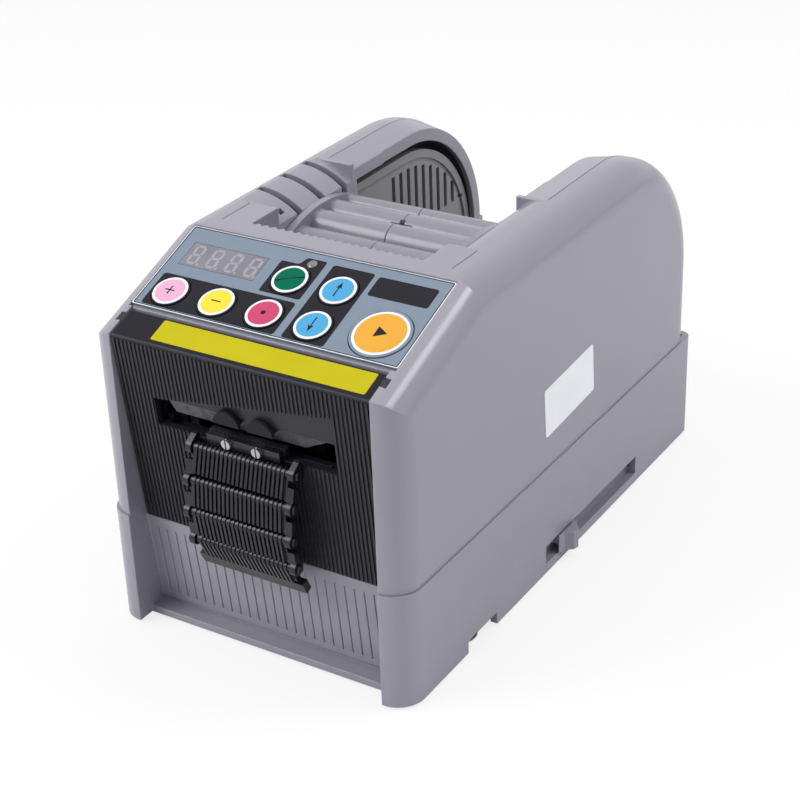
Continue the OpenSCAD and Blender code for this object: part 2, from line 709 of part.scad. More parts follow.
module chute_bracket() color(black) lifted() on_front() difference() {
    union() {
        translate([-block_hw, -rib_h - bracket_t, hinge_in[1] + 0.8])
            cube([2*block_hw, bracket_t, slot_z0 - hinge_in[1] - 0.8]);
        translate([-chute_hw, -rib_h - 0.9, hinge_in[1] - ear_r]) cube([2*chute_hw, 0.9, ear_r + 2.4]);
        both() {
            translate([chute_hw + part_gap, -hinge_in[0], hinge_in[1]]) rotate([90, 0, 90])
                linear_extrude(height = ear_t) ear_outline();
            translate([chute_hw - 0.5, -rib_h - 0.9, hinge_in[1] - ear_r])
                cube([ear_t + 0.8, 0.9, ear_r + 2.4]);
        }
    }
    rod_x(pin_r + run_gap, -50, 100, -hinge_in[0], hinge_in[1]);
    rod_x(finger_r + 0.3, -chute_hw - part_gap/2, 2*chute_hw + part_gap, -hinge_in[0], hinge_in[1]);
    for (s = [-1, 1]) rod_y(screw_r - 0.3 + run_gap, s*chute_screw_x, -6, chute_screw_z, 12);
}

module chute_screws() color(steel) lifted() on_front() for (s = [-1, 1]) difference() {
    union() {
        rod_y(1.6, s*chute_screw_x, -rib_h - bracket_t - 1.2, chute_screw_z, 1.2);
        rod_y(screw_r - 0.3, s*chute_screw_x, -rib_h - bracket_t - 0.2, chute_screw_z,
            bracket_t + rib_h + plate_t);
    }
    translate([s*chute_screw_x - 0.25, -rib_h - bracket_t - 2, chute_screw_z - 3]) cube([0.5, 1.5, 6]);
}

// Barrel of a link along X, with the link's ribs running round it
module ribbed_barrel() {
    n = floor((2*chute_hw - 0.8 - link_rib_w)/link_rib_pitch);
    x0 = -n*link_rib_pitch/2;
    rotate([0, 90, 0]) rotate_extrude() polygon(concat(
        [[0, -chute_hw], [barrel_r, -chute_hw]],
        [for (i = [0:n]) for (k = [0:3])
            [k == 1 || k == 2 ? finger_r : barrel_r,
                x0 + i*link_rib_pitch + (k < 2 ? -1 : 1)*link_rib_w/2]],
        [[barrel_r, chute_hw], [0, chute_hw]]));
}

// A chute link hanging from its pin along -Z; the last one ends in a smooth lip
module chute_link(last) {
    l = last ? link_pitch + 1.2 : link_pitch;
    plate_end = last ? l : l - 2.6;
    rib_end = last ? l - lip_l : plate_end;
    pin_l = chute_hw + part_gap + ear_t + 0.4;
    difference() {
        union() {
            ribbed_barrel();
            rod_x(pin_r, -pin_l, 2*pin_l, 0, 0);
            translate([-chute_hw, -link_t/2, -plate_end]) cube([2*chute_hw, link_t, plate_end]);
            translate([0, -link_t/2, -rib_end])
                comb(chute_hw - 0.4, link_rib_pitch, link_rib_w, link_rib_h, rib_end);
            if (!last) both() {
                translate([chute_hw - 0.5, -link_t/2, -l + 2])
                    cube([ear_t + part_gap + 0.5, link_t, l - 6]);
                translate([chute_hw + part_gap, -link_t/2, -l]) cube([ear_t, link_t, l - 4]);
                rod_x(ear_r, chute_hw + part_gap, ear_t, 0, -l);
            }
            if (last) translate([-chute_hw - 2, -link_t/2 - 0.5, -l])
                cube([2*chute_hw + 4, link_t + 0.5, lip_l - 0.8]);
        }
        if (!last) rod_x(pin_r + run_gap, -50, 100, 0, -l);
    }
}

module chute_at(i) {
    translate([0, HINGES[i][0], HINGES[i][1]]) rotate([-chute_tilt[i], 0, 0]) children();
}

module chute_link_1() color(black) lifted() chute_at(0) chute_link(false);
module chute_link_2() color(black) lifted() chute_at(1) chute_link(false);
module chute_link_3() color(black) lifted() chute_at(2) chute_link(false);
module chute_link_4() color(black) lifted() chute_at(3) chute_link(true);

// Lever in the base's side window: wedge outside, shoe inside
module side_slider() color(gray) lifted() translate([0, slider_y, 0]) {
    translate([shoe_x, -9, floor_top + 0.2]) cube([body_w/2 - wall - 0.4 - shoe_x, 18, 6.4]);
    translate([body_w/2 - wall - 1, -4.5, floor_top + 0.2]) cube([wall + 1.4, 9, 3.8]);
    translate([0, 0, knob_z]) linear_extrude(height = 6.8) polygon([
        [body_w/2 + 0.3, -6], [body_w/2 + 1, -3], [body_w/2 + knob_out - 0.4, -1],
        [body_w/2 + knob_out, 1.2], [body_w/2 + knob_out - 0.8, 2.4], [body_w/2 + 0.3, 6]]);
}

module rubber_feet() color(black) lifted() for (p = FEET) translate([p[0], p[1], 0]) {
    translate([0, 0, -foot_proud]) cylinder(r = foot_r, h = foot_proud + floor_z);
    cylinder(r = 2.3 - run_gap, h = floor_top + 0.4);
    translate([0, 0, floor_top]) cylinder(r = 3.2, h = 1.4);
}

module case_screws() color(steel) lifted() for (p = BOSSES) translate([p[0], p[1], 0]) {
    translate([0, 0, 5.6]) cylinder(r = 2.9, h = 2.4);
    translate([0, 0, 7]) cylinder(r = screw_r, h = seam_z + boss_h - 8.5);
}

// Frame plate on the right, with its outward feet
module frame_plate() {
    difference() {
        union() {
            translate([frame_x, yf + 14, frame_z]) cube([frame_t, 62, frame_top - frame_z]);
            for (p = FRAME_POSTS) translate([frame_x, p[1] - 4, frame_z]) cube([10, 8, frame_t]);
        }
        rod_x(shaft_r + run_gap, frame_x - 1, frame_t + 2, feed_y, feed_z);
        rod_x(pinch_shaft_r + run_gap, frame_x - 1, frame_t + 2, feed_y, pinch_z);
        for (p = FRAME_POSTS) translate([p[0], p[1], frame_z - 1]) cylinder(r = 1.3, h = frame_t + 2);
        translate([frame_x - 1, yf + 46, feed_z + 14]) cube([frame_t + 2, 24, 6]);
    }
}

module frame_left() color(steel) lifted() mirror([1, 0, 0]) frame_plate();
module frame_right() color(steel) lifted() {
    difference() {
        frame_plate();
        rod_x(3.4, frame_x - 1, frame_t + 2, pinion_y, pinion_z);
    }
    rod_x(idler_r, frame_x + 1, gear_x + gear_w + 0.6 - frame_x - 1, idler_y, idler_z);
}

module frame_screws() color(steel) lifted() both() for (p = FRAME_POSTS) translate([p[0], p[1], 0]) {
    translate([0, 0, frame_z + frame_t]) cylinder(r = 2.4, h = 1.6);
    translate([0, 0, frame_z - 9]) cylinder(r = 1.25, h = 11.2);
}

// Spur gear with straight flanks, teeth thinned for play; tooth 0 on local +X
module spur(n, bore, w) {
    pr = gear_m*n/2;
    root = pr - 1.2*gear_m;
    tip = pr + 0.95*gear_m;
    a = 360/n;
    linear_extrude(height = w) difference() {
        polygon([for (i = [0:n - 1]) for (k = [0:3])
            let (r = k == 1 || k == 2 ? tip : root,
                t = i*a + a*[-0.29, -0.11, 0.11, 0.29][k])
            [r*cos(t), r*sin(t)]]);
        circle(r = bore);
    }
}

// Gear about an axis along X, tooth 0 turned to the angle t in the Y-Z plane
module gear_at(n, bore, y, z, t) {
    translate([gear_x, y, z]) rotate([90, 0, 90]) rotate([0, 0, t]) spur(n, bore, gear_w);
}

module feed_shaft() color(steel) lifted()
    rod_x(shaft_r, -frame_x - frame_t - 2, 2*frame_x + 2*frame_t + 9, feed_y, feed_z);

module feed_rings() color([0.15, 0.15, 0.16]) lifted() for (i = [-2:2]) difference() {
    rod_x(feed_r, i*ring_pitch - 4, 8, feed_y, feed_z);
    rod_x(shaft_r, i*ring_pitch - 5, 10, feed_y, feed_z);
}

module feed_gear() color([0.88, 0.87, 0.83]) lifted()
    gear_at(feed_teeth, shaft_r, feed_y, feed_z, ang_idler);

module idler_gear() color([0.88, 0.87, 0.83]) lifted()
    gear_at(idler_teeth, idler_r + run_gap, idler_y, idler_z, ang_idler + 180 + 180/idler_teeth);

module motor_pinion() color([0.80, 0.68, 0.35]) lifted() {
    t = ang_pinion - (ang_idler + 180 + 180/idler_teeth);
    gear_at(pinion_teeth, motor_shaft_r, pinion_y, pinion_z,
        ang_pinion + 180 + 180/pinion_teeth + t*idler_teeth/pinion_teeth);
    rod_x(motor_shaft_r, frame_x - 2, gear_x + gear_w + 0.6 - frame_x + 2, pinion_y, pinion_z);
}

module feed_motor() color([0.62, 0.63, 0.65]) lifted() difference() {
    union() {
        rod_x(motor_r, frame_x - motor_l, motor_l, pinion_y, pinion_z);
        rod_x(5, frame_x - motor_l - 1.5, 2, pinion_y, pinion_z);
        rod_x(3.2, frame_x - 1, 2.2, pinion_y, pinion_z);
    }
    rod_x(motor_shaft_r + run_gap, frame_x - 2.2, 5, pinion_y, pinion_z);
}

module pinch_roller() color([0.18, 0.18, 0.19]) lifted() {
    rod_x(pinch_r, -pinch_hw, 2*pinch_hw, feed_y, pinch_z);
    rod_x(pinch_shaft_r, -frame_x - frame_t - 1, 2*(frame_x + frame_t + 1), feed_y, pinch_z);
}

module entry_guide() color(steel) lifted() translate([-frame_x, 0, 0]) rotate([90, 0, 90])
    linear_extrude(height = 2*frame_x) polygon([[yf + 62, frame_top + 0.6], [yf + 41, frame_top - 13.8],
        [yf + 41, frame_top - 15.2], [yf + 63, frame_top - 0.6]]);

module cutter_motor() color([0.62, 0.63, 0.65]) lifted() on_front() difference() {
    union() {
        rod_y(motor_r, 0, cutter_plate_y + cutter_plate_t, cam_z, cutter_motor_l);
        rod_y(4.6, 0, cutter_plate_y + 0.1, cam_z, 3);
    }
    rod_y(2 + run_gap, 0, cutter_plate_y - 1, cam_z, 4);
}

// Angle of bent sheet: foot on the floor, upright along the lean
module cutter_bracket() color(steel) lifted() difference() {
    back_y = cutter_plate_y + cutter_plate_t;
    foot_z = floor_top + cutter_plate_t;
    translate([-14, 0, 0]) rotate([90, 0, 90]) linear_extrude(height = 28) polygon([
        [front_y_at(cutter_plate_y, floor_top), floor_top], [yf + 38.4, floor_top], [yf + 38.4, foot_z],
        [front_y_at(back_y, foot_z), foot_z], front_yz(back_y, cutter_plate_top),
        front_yz(cutter_plate_y, cutter_plate_top)]);
    on_front() rod_y(4.6 + run_gap, 0, cutter_plate_y - 1, cam_z, 4);
}

// Cam whose radius grows evenly with the turn, so the blade follows at a fixed ratio
module cutter_cam() color([0.88, 0.87, 0.83]) lifted() on_front() {
    k = cut_stroke/cam_sweep;
    top = cam_sweep + 15;
    translate([0, cam_y + cam_t, cam_z]) rotate([90, 0, 0]) linear_extrude(height = cam_t)
        polygon([for (t = [0:5:355])
            let (r = t <= top ? cam_r0 + k*t
                : cam_r0 + k*top - (k*top + 0.4)*min(1, (t - top)/(325 - top)))
            [-r*sin(t), r*cos(t)]]);
    rod_y(2, 0, cam_y - 0.3, cam_z, cutter_plate_y + 2.6 - cam_y);
}

module blade_carriage() color([0.30, 0.30, 0.32]) lifted() on_front() {
    translate([-carriage_hw, carriage_y, carriage_z]) cube([2*carriage_hw, carriage_t, carriage_h]);
    rod_y(follower_r, 0, carriage_y + carriage_t - 0.5, cam_z + cam_r0 + follower_r + follower_gap,
        cam_t + 0.9);
}

module blade_moving() color([0.80, 0.81, 0.83]) lifted() on_front()
    translate([0, carriage_y, 0]) rotate([90, 0, 0]) linear_extrude(height = blade_t)
        polygon([[-blade_hw, slot_z0 - 17.2], [blade_hw, slot_z0 - 17.2], [blade_hw, slot_z0 - 4.1],
            [-blade_hw, slot_z0 - 5.3]]);

module blade_fixed() color([0.80, 0.81, 0.83]) lifted() on_front()
    translate([0, fixed_y + blade_t, 0]) rotate([90, 0, 0]) linear_extrude(height = blade_t)
        polygon([[-27, blade_z], [19.5, blade_z], [27.5, blade_z + 4], [27.5, blade_z + 12.2],
            [-29.5, blade_z + 12.2], [-29.5, blade_z + 4]]);

// Half-round pads in front of the fixed blade, which keep the cut strip off it
module blade_pads() color([0.12, 0.12, 0.13]) lifted() on_front() for (s = [-1, 1]) {
    intersection() {
        rod_y(pad_r, s*pad_x, -1.2, pad_z, 1.1);
        translate([-20, -10, pad_z]) cube([40, 20, 10]);
    }
    translate([s*pad_x - 3.5, -0.6, pad_z]) cube([7, fixed_y + 0.6, slot_z1 - pad_z - 0.3]);
}

module bay_roller(y) {
    rod_x(bay_roller_r, -bay_hw + part_gap, bay_w - 2*part_gap, y, bay_roller_z);
    rod_x(2, -bay_wall + 0.1, 2*bay_wall - 0.2, y, bay_roller_z);
}

module bay_roller_front() color(black) lifted() bay_roller(ROLLERS[0]);
module bay_roller_rear() color(black) lifted() bay_roller(ROLLERS[1]);

module power_inlet() color(black) lifted() difference() {
    union() {
        rod_y(5.3, inlet_x, yr - 12, inlet_z, 12);
        translate([inlet_x - 7, yr - wall - 3.5, inlet_z - 7]) cube([14, 3.5, 14]);
    }
    difference() {
        rod_y(2.8, inlet_x, yr - 9, inlet_z, 10);
        rod_y(0.9, inlet_x, yr - 10, inlet_z, 9);
    }
}

base_tray();
upper_casing();
front_plate();
panel_overlay();
display_window();
display_module();
status_lamp();
key_plus();
key_minus();
key_select();
key_mode();
key_up();
key_down();
key_start();
control_board();
guide_left();
guide_right();
side_plate_left();
side_plate_right();
chute_bracket();
chute_screws();
chute_link_1();
chute_link_2();
chute_link_3();
chute_link_4();
side_slider();
rubber_feet();
case_screws();
frame_left();
frame_right();
frame_screws();
feed_shaft();
feed_rings();
feed_gear();
idler_gear();
feed_motor();
motor_pinion();
pinch_roller();
entry_guide();
cutter_motor();
cutter_bracket();
cutter_cam();
blade_carriage();
blade_moving();
blade_fixed();
blade_pads();
bay_roller_front();
bay_roller_rear();
power_inlet();
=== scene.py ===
"""Looks of an electric tape dispenser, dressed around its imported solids.

Everything is in metres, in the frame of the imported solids: +X to the right seen
from the outlet side, +Y to the back, +Z up. Sizes of small pieces are written in
millimetres and turned into metres where a mesh is made.
"""

import json
import logging
import math
from dataclasses import dataclass, field
from enum import Enum

import bpy
import numpy as np
from mathutils import Matrix, Vector


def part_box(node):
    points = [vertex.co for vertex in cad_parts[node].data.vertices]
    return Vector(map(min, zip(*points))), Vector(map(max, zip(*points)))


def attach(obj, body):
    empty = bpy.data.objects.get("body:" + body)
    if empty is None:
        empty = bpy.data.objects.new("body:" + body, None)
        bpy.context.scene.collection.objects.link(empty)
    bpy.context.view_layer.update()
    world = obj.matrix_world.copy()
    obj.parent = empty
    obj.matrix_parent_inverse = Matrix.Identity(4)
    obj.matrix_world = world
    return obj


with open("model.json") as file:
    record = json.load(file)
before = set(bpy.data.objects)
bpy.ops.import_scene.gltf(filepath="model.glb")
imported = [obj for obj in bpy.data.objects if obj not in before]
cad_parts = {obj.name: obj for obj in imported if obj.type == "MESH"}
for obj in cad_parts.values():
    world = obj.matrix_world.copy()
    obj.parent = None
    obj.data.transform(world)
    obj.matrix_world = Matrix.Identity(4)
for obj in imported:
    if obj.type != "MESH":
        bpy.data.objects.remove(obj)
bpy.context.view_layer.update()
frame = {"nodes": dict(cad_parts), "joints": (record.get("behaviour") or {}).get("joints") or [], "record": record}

MM = 0.001
SUNK = 0.02  # depth in millimetres by which a printed or glued layer goes into what carries it
EASE = 0.04  # width in millimetres of the eased edge of a film or label
SHARP = math.radians(35.0)  # angle between two faces from which their edge is drawn sharp
Array = np.ndarray
Socket = bpy.types.NodeSocket
Pair = tuple[float, float]
Triple = tuple[float, float, float]
log = logging.getLogger("tape_dispenser")


class Graph:
    """Short-hand for adding and wiring the nodes of one material."""

    def __init__(self, name: str) -> None:
        """Starts a material with an empty surface shader.

        Args:
            name: Name of the material.
        """
        self.material = bpy.data.materials.new(name)
        self.material.use_nodes = True
        self.tree = self.material.node_tree
        self.shader = self.tree.nodes["Principled BSDF"]
        self.place = self.add("ShaderNodeTexCoord").outputs["Object"]

    def add(self, kind: str, **settings: object) -> bpy.types.Node:
        """Adds a node.

        Args:
            kind: Blender's name of the node type.
            settings: Properties of the node, set as they are.

        Returns:
            The new node.
        """
        node = self.tree.nodes.new(kind)
        for key, value in settings.items():
            setattr(node, key, value)
        return node

    def wire(self, out: Socket, into: Socket) -> None:
        """Links an output to an input."""
        self.tree.links.new(out, into)

    def set(self, socket: str, value: object) -> None:
        """Sets one constant of the surface shader."""
        self.shader.inputs[socket].default_value = value

    def noise(self, size: float, detail: float = 3.0, stretch: Triple = (1.0, 1.0, 1.0)) -> Socket:
        """Adds a noise pattern on the piece's own coordinates.

        Args:
            size: Size of its features in millimetres.
            detail: Octaves of the noise.
            stretch: Factor on the pattern's frequency along X, Y and Z.

        Returns:
            The socket with a value from 0 to 1.
        """
        mapping = self.add("ShaderNodeMapping")
        mapping.inputs["Scale"].default_value = stretch
        noise = self.add("ShaderNodeTexNoise")
        noise.inputs["Scale"].default_value = 1.0 / (size * MM)
        noise.inputs["Detail"].default_value = detail
        self.wire(self.place, mapping.inputs["Vector"])
        self.wire(mapping.outputs["Vector"], noise.inputs["Vector"])
        return noise.outputs["Fac"]

    def spread(self, value: Socket, low: float, high: float,
               start: float = 0.3, end: float = 0.7) -> Socket:
        """Maps a value from the range start to end onto low to high.

        Args:
            value: Socket with the value.
            low: Result at the start of the range.
            high: Result at its end.
            start: Start of the range. Noise seldom leaves 0.3 to 0.7.
            end: End of the range.

        Returns:
            The socket with the mapped value.
        """
        node = self.add("ShaderNodeMapRange")
        for name, number in zip(("From Min", "From Max", "To Min", "To Max"), (start, end, low, high)):
            node.inputs[name].default_value = number
        self.wire(value, node.inputs["Value"])
        return node.outputs["Result"]

    def mix(self, share: Socket, first: object, second: object) -> Socket:
        """Mixes two colours.

        Args:
            share: Socket that gives the share of the second colour.
            first: Colour, or the socket that gives it.
            second: Colour, or the socket that gives it.

        Returns:
            The socket with the mixed colour.
        """
        node = self.add("ShaderNodeMix", data_type="RGBA")
        self.wire(share, node.inputs["Factor"])
        for socket, colour in ((node.inputs[6], first), (node.inputs[7], second)):
            if isinstance(colour, Socket):
                self.wire(colour, socket)
            else:
                socket.default_value = (*colour, 1.0)
        return node.outputs[2]

    def bump(self, height: Socket, depth: float,
             normal: Socket | None = None) -> Socket:
        """Turns a height pattern into a normal.

        Args:
            height: Socket with the height from 0 to 1.
            depth: Height of the pattern in millimetres.
            normal: Normal to start from, or None for the surface's own.

        Returns:
            The socket with the bent normal.
        """
        node = self.add("ShaderNodeBump")
        node.inputs["Strength"].default_value = 1.0
        node.inputs["Distance"].default_value = depth * MM
        self.wire(height, node.inputs["Height"])
        if normal is not None:
            self.wire(normal, node.inputs["Normal"])
        return node.outputs["Normal"]


@dataclass(frozen=True)
class Finish:
    """A surface finish with colour variation, grain, softened edges and a painted highlight along edges.

    Attributes:
        name: Name of the material.
        colour: Colour in linear light.
        rough: Lowest and highest roughness.
        metallic: 1 for a bare metal.
        coat: Strength of a clear coat.
        mottle: Share by which the colour varies.
        mottle_size: Size of that variation in millimetres.
        grain_size: Size of the fine grain in millimetres.
        grain_depth: Depth of the fine grain in millimetres.
        stretch: Frequency of the grain along X, Y and Z.
        edge: Radius in millimetres by which edges look rounded.
        edge_highlight: Share by which edges take the lighter shade, a painted highlight.
        highlight_shade: Brightness of that painted highlight against the colour.
        highlight_bend: Cosine of the normal's bend from which the painted highlight is full.
        gloss: Level of the mirror part, 0.5 for plain plastic.
    """

    name: str
    colour: Triple
    rough: Pair = (0.4, 0.5)
    metallic: float = 0.0
    coat: float = 0.0
    mottle: float = 0.04
    mottle_size: float = 14.0
    grain_size: float = 0.5
    grain_depth: float = 0.012
    stretch: Triple = (1.0, 1.0, 1.0)
    edge: float = 0.35
    edge_highlight: float = 0.12
    highlight_shade: float = 1.8
    highlight_bend: float = 0.9
    gloss: float = 0.5

    def shade(self, factor: float) -> Triple:
        """Gives the finish's colour made lighter or darker by a factor."""
        return tuple(min(1.0, channel * factor) for channel in self.colour)

    def material(self) -> bpy.types.Material:
        """Builds the material, or gives it if it exists.

        Returns:
            The material.
        """
        known = bpy.data.materials.get(self.name)
        if known is not None:
            return known
        graph = Graph(self.name)
        graph.set("Metallic", self.metallic)
        graph.set("Coat Weight", self.coat)
        graph.set("Specular IOR Level", self.gloss)
        patches = graph.noise(self.mottle_size, 4.0)
        dark, light = self.shade(1.0 - self.mottle), self.shade(1.0 + self.mottle)
        colour = graph.mix(graph.spread(patches, 0.0, 1.0), dark, light)
        grain = graph.noise(self.grain_size, 2.0, self.stretch)
        graph.wire(graph.spread(patches, *self.rough), graph.shader.inputs["Roughness"])
        normal = None
        if self.edge > 0.0:
            bevel = graph.add("ShaderNodeBevel", samples=4)
            bevel.inputs["Radius"].default_value = self.edge * MM
            normal = bevel.outputs["Normal"]
            # Paints a lighter highlight along edges, where the softened normal bends away from the flat one.
            colour = self.paint_edge_highlight(graph, normal, colour)
        graph.wire(colour, graph.shader.inputs["Base Color"])
        graph.wire(graph.bump(grain, self.grain_depth, normal), graph.shader.inputs["Normal"])
        return graph.material

    def paint_edge_highlight(self, graph: Graph, normal: Socket, colour: Socket) -> Socket:
        """Paints a highlight along edges: lightens the colour where the softened normal leaves the flat one.

        The painted highlight is full where the cosine between the two normals is highlight_bend or less,
        and none where it is 1.

        Args:
            graph: Nodes of the material.
            normal: Socket with the softened normal.
            colour: Socket with the colour away from edges.

        Returns:
            The socket with the colour and its painted edge highlight.
        """
        flat = graph.add("ShaderNodeNewGeometry").outputs["Normal"]
        dot = graph.add("ShaderNodeVectorMath", operation="DOT_PRODUCT")
        graph.wire(normal, dot.inputs[0])
        graph.wire(flat, dot.inputs[1])
        share = graph.spread(dot.outputs["Value"], self.edge_highlight, 0.0, self.highlight_bend, 1.0)
        return graph.mix(share, colour, self.shade(self.highlight_shade))


def key_ink(name: str, colour: Triple) -> Finish:
    """Gives the satin ink of a key's face."""
    return Finish(name, colour, (0.35, 0.45), mottle=0.03, grain_depth=0.005, edge=0.15, gloss=0.2)


# In each finish below, the share of lighter colour along edges is a painted highlight.
CASE = Finish("case_plastic", (0.280, 0.273, 0.322), (0.18, 0.23), mottle=0.012, mottle_size=26.0,
              grain_size=0.35, grain_depth=0.002, edge=0.6, edge_highlight=0.5)
GUIDE = Finish("guide_plastic", (0.245, 0.24, 0.278), (0.19, 0.27), mottle=0.03, grain_depth=0.003,
               edge=0.4, edge_highlight=0.2)
BLACK = Finish("black_plastic", (0.013, 0.0127, 0.020), (0.34, 0.48), mottle=0.12, edge=0.2, edge_highlight=0.8,
               gloss=0.38)
CHUTE = Finish("chute_plastic", (0.010, 0.010, 0.013), (0.2, 0.32), mottle=0.12, grain_depth=0.004, edge=0.15,
               edge_highlight=0.8, gloss=0.4)
DARK = Finish("side_plate_plastic", (0.30, 0.293, 0.312), (0.5, 0.6), mottle=0.08, edge=0.4, edge_highlight=0.2)
FILM = Finish("panel_film", (0.188, 0.237, 0.302), (0.32, 0.42), mottle=0.03, grain_size=0.25,
              grain_depth=0.004, edge=0.15, gloss=0.3)
# Besides print, these two inks paint the shadow line and the highlight line along the panel film's edge.
BLACK_INK_AND_SHADOW = Finish("black_ink_and_shadow", (0.014, 0.014, 0.019), (0.34, 0.44), mottle=0.08, grain_size=0.25,
                   grain_depth=0.003, edge=0.0, gloss=0.1)
WHITE_INK_AND_HIGHLIGHT = Finish("white_ink_and_highlight", (0.82, 0.82, 0.85), (0.4, 0.5), mottle=0.02, grain_size=0.3,
                   grain_depth=0.004, edge=0.1)
STRIP = Finish("yellow_film", (0.51, 0.448, 0.006), (0.34, 0.46), mottle=0.03, grain_depth=0.005,
               edge=0.1, gloss=0.12)
PAPER = Finish("label_paper", (0.85, 0.85, 0.88), (0.45, 0.6), mottle=0.015, grain_size=0.2,
               grain_depth=0.006, edge=0.1, gloss=0.3)
RUBBER = Finish("black_rubber", (0.016, 0.016, 0.018), (0.62, 0.8), mottle=0.15, grain_size=0.3,
                grain_depth=0.02, edge=0.3, gloss=0.2)
STEEL = Finish("plated_steel", (0.45, 0.45, 0.47), (0.26, 0.4), metallic=1.0, mottle=0.06, grain_size=0.6,
               grain_depth=0.004, edge=0.2)
BLADE = Finish("ground_blade", (0.095, 0.095, 0.105), (0.35, 0.55), metallic=1.0, mottle=0.3, mottle_size=2.5,
               stretch=(0.15, 1.0, 3.0), edge=0.1)
SHEET = Finish("zinc_sheet", (0.52, 0.53, 0.55), (0.3, 0.5), metallic=1.0, mottle=0.12, mottle_size=6.0)
BRASS = Finish("turned_brass", (0.68, 0.50, 0.20), (0.25, 0.4), metallic=1.0)
NATURAL = Finish("natural_plastic", (0.76, 0.74, 0.66), (0.42, 0.55))
BOARD = Finish("board_lacquer", (0.03, 0.18, 0.08), (0.25, 0.4), mottle=0.25, mottle_size=1.6)
SMOKED = Finish("smoked_window", (0.212, 0.204, 0.236), (0.3, 0.38), mottle=0.12, mottle_size=9.0,
                grain_depth=0.001, edge=0.1, gloss=0.3)
SEGMENT = Finish("unlit_segment", (0.325, 0.322, 0.355), (0.5, 0.6), mottle=0.08, mottle_size=3.0, edge=0.0,
                 gloss=0.3)
LENS = Finish("lamp_lens", (0.14, 0.14, 0.155), (0.12, 0.2), coat=0.5, edge=0.1)
PINK = key_ink("pink_key", (0.74, 0.405, 0.565))
YELLOW = key_ink("yellow_key", (0.80, 0.66, 0.05))
CRIMSON = key_ink("crimson_key", (0.55, 0.055, 0.15))
GREEN = Finish("green_key", (0.002, 0.135, 0.078), (0.5, 0.6), mottle=0.05, grain_depth=0.005, edge=0.0,
               gloss=0.04)
BLUE = key_ink("blue_key", (0.072, 0.35, 0.62))
ORANGE = key_ink("orange_key", (0.75, 0.365, 0.04))

# A key's solid has the colour of its surround; its own colour lies on its face.
SLOT_FINISH: dict[str, Finish] = {
    "case": CASE, "lever": CASE, "guide": GUIDE, "side_plate": DARK, "ribbed_plate": BLACK, "chute": CHUTE,
    "overlay": FILM, "window": SMOKED, "display": DARK, "lamp": LENS, "board": BOARD,
    "key_pink": BLACK_INK_AND_SHADOW, "key_yellow": BLACK_INK_AND_SHADOW, "key_crimson": BLACK_INK_AND_SHADOW, "key_green": BLACK_INK_AND_SHADOW,
    "key_blue": BLACK_INK_AND_SHADOW, "key_orange": FILM,
    "rubber": RUBBER, "screw": STEEL, "frame": SHEET, "shaft": STEEL, "gear": NATURAL, "pinion": BRASS,
    "motor": SHEET, "carriage": BLACK, "blade": BLADE, "bay_roller": BLACK, "inlet": BLACK,
}


@dataclass(frozen=True)
class Plane:
    """A flat place on the machine.

    Attributes:
        origin: Point from which places on it are counted, in metres.
        across: Unit direction of its first coordinate.
        along: Unit direction of its second coordinate.
        out: Unit direction away from the machine.
    """

    origin: Array
    across: Array
    along: Array
    out: Array

    def at(self, flat: Array, height: Array) -> Array:
        """Gives points in metres: the origin plus x across, v along and n outwards.

        Args:
            flat: Places (x, v) on the plane in millimetres, in the last axis.
            height: Height n of each place above the plane in millimetres.

        Returns:
            The points, with X, Y and Z in the last axis.
        """
        x, v, n = np.broadcast_arrays(flat[..., 0], flat[..., 1], height)
        offset = x[..., None] * self.across + v[..., None] * self.along + n[..., None] * self.out
        return self.origin + MM * offset


def skin(name: str, rings: Array, poles: Array | None = None) -> bpy.types.Object:
    """Makes one piece out of solids that are each a stack of rings.

    Point (i, j) of a solid is point j of ring i. Four neighbours (i, j), (i, j+1),
    (i+1, j+1), (i+1, j) make a face, and j runs round. The first and last ring are
    closed by fans to two pole points, or the last ring joins the first one. All faces
    are turned round where the volume that they enclose comes out negative.

    Args:
        name: Name of the piece.
        rings: Points as solids by rings by points by 3, in metres.
        poles: First and last pole of each solid, or None where the last ring joins the first.

    Returns:
        The new object.
    """
    count, tall, around, _ = rings.shape
    points = rings.reshape(count, -1, 3)
    fans = np.empty((0, 3), int)
    col = np.arange(around)
    nxt = (col + 1) % around
    steps = np.arange(tall)
    if poles is not None:
        points = np.concatenate([points, poles], 1)
        steps = steps[:-1]
        first = np.arange(count)[:, None] * points.shape[1]
        last = first + (tall - 1) * around
        pole = first + tall * around + 0 * col
        fans = np.concatenate([np.stack([first + nxt, first + col, pole], -1),
                               np.stack([last + col, last + nxt, pole + 1], -1)]).reshape(-1, 3)
    start = np.arange(count)[:, None, None] * points.shape[1]
    low = start + steps[:, None] * around
    high = start + (steps[:, None] + 1) % tall * around
    quads = np.stack([low + col, low + nxt, high + nxt, high + col], -1).reshape(-1, 4)
    points = points.reshape(-1, 3)
    triangles = np.concatenate([quads[:, [0, 1, 2]], quads[:, [0, 2, 3]], fans])
    a, b, c = np.moveaxis(points[triangles], 1, 0)
    if np.einsum("ij,ij->", a, np.cross(b, c)) < 0.0:
        quads, fans = quads[:, ::-1], fans[:, ::-1]
    mesh = bpy.data.meshes.new(name)
    mesh.from_pydata(points.tolist(), [], quads.tolist() + fans.tolist())
    mesh.polygons.foreach_set("use_smooth", np.ones(len(mesh.polygons), bool))
    mesh.set_sharp_from_angle(angle=SHARP)
    piece = bpy.data.objects.new(name, mesh)
    bpy.context.scene.collection.objects.link(piece)
    return piece


def dress(piece: bpy.types.Object, finish: Finish, body: str) -> None:
    """Gives a new piece its finish and the body it rides on.

    Args:
        piece: The piece.
        finish: Its finish.
        body: Name of the body.
    """
    piece.data.materials.append(finish.material())
    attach(piece, body)
    log.info("piece %s rides on %s", piece.name, body)


def circle(radius: float, points: int) -> Array:
    """Gives points on a circle about its middle."""
    turn = np.linspace(0.0, 2.0 * np.pi, points, endpoint=False)
    return radius * np.stack([np.cos(turn), np.sin(turn)], -1)


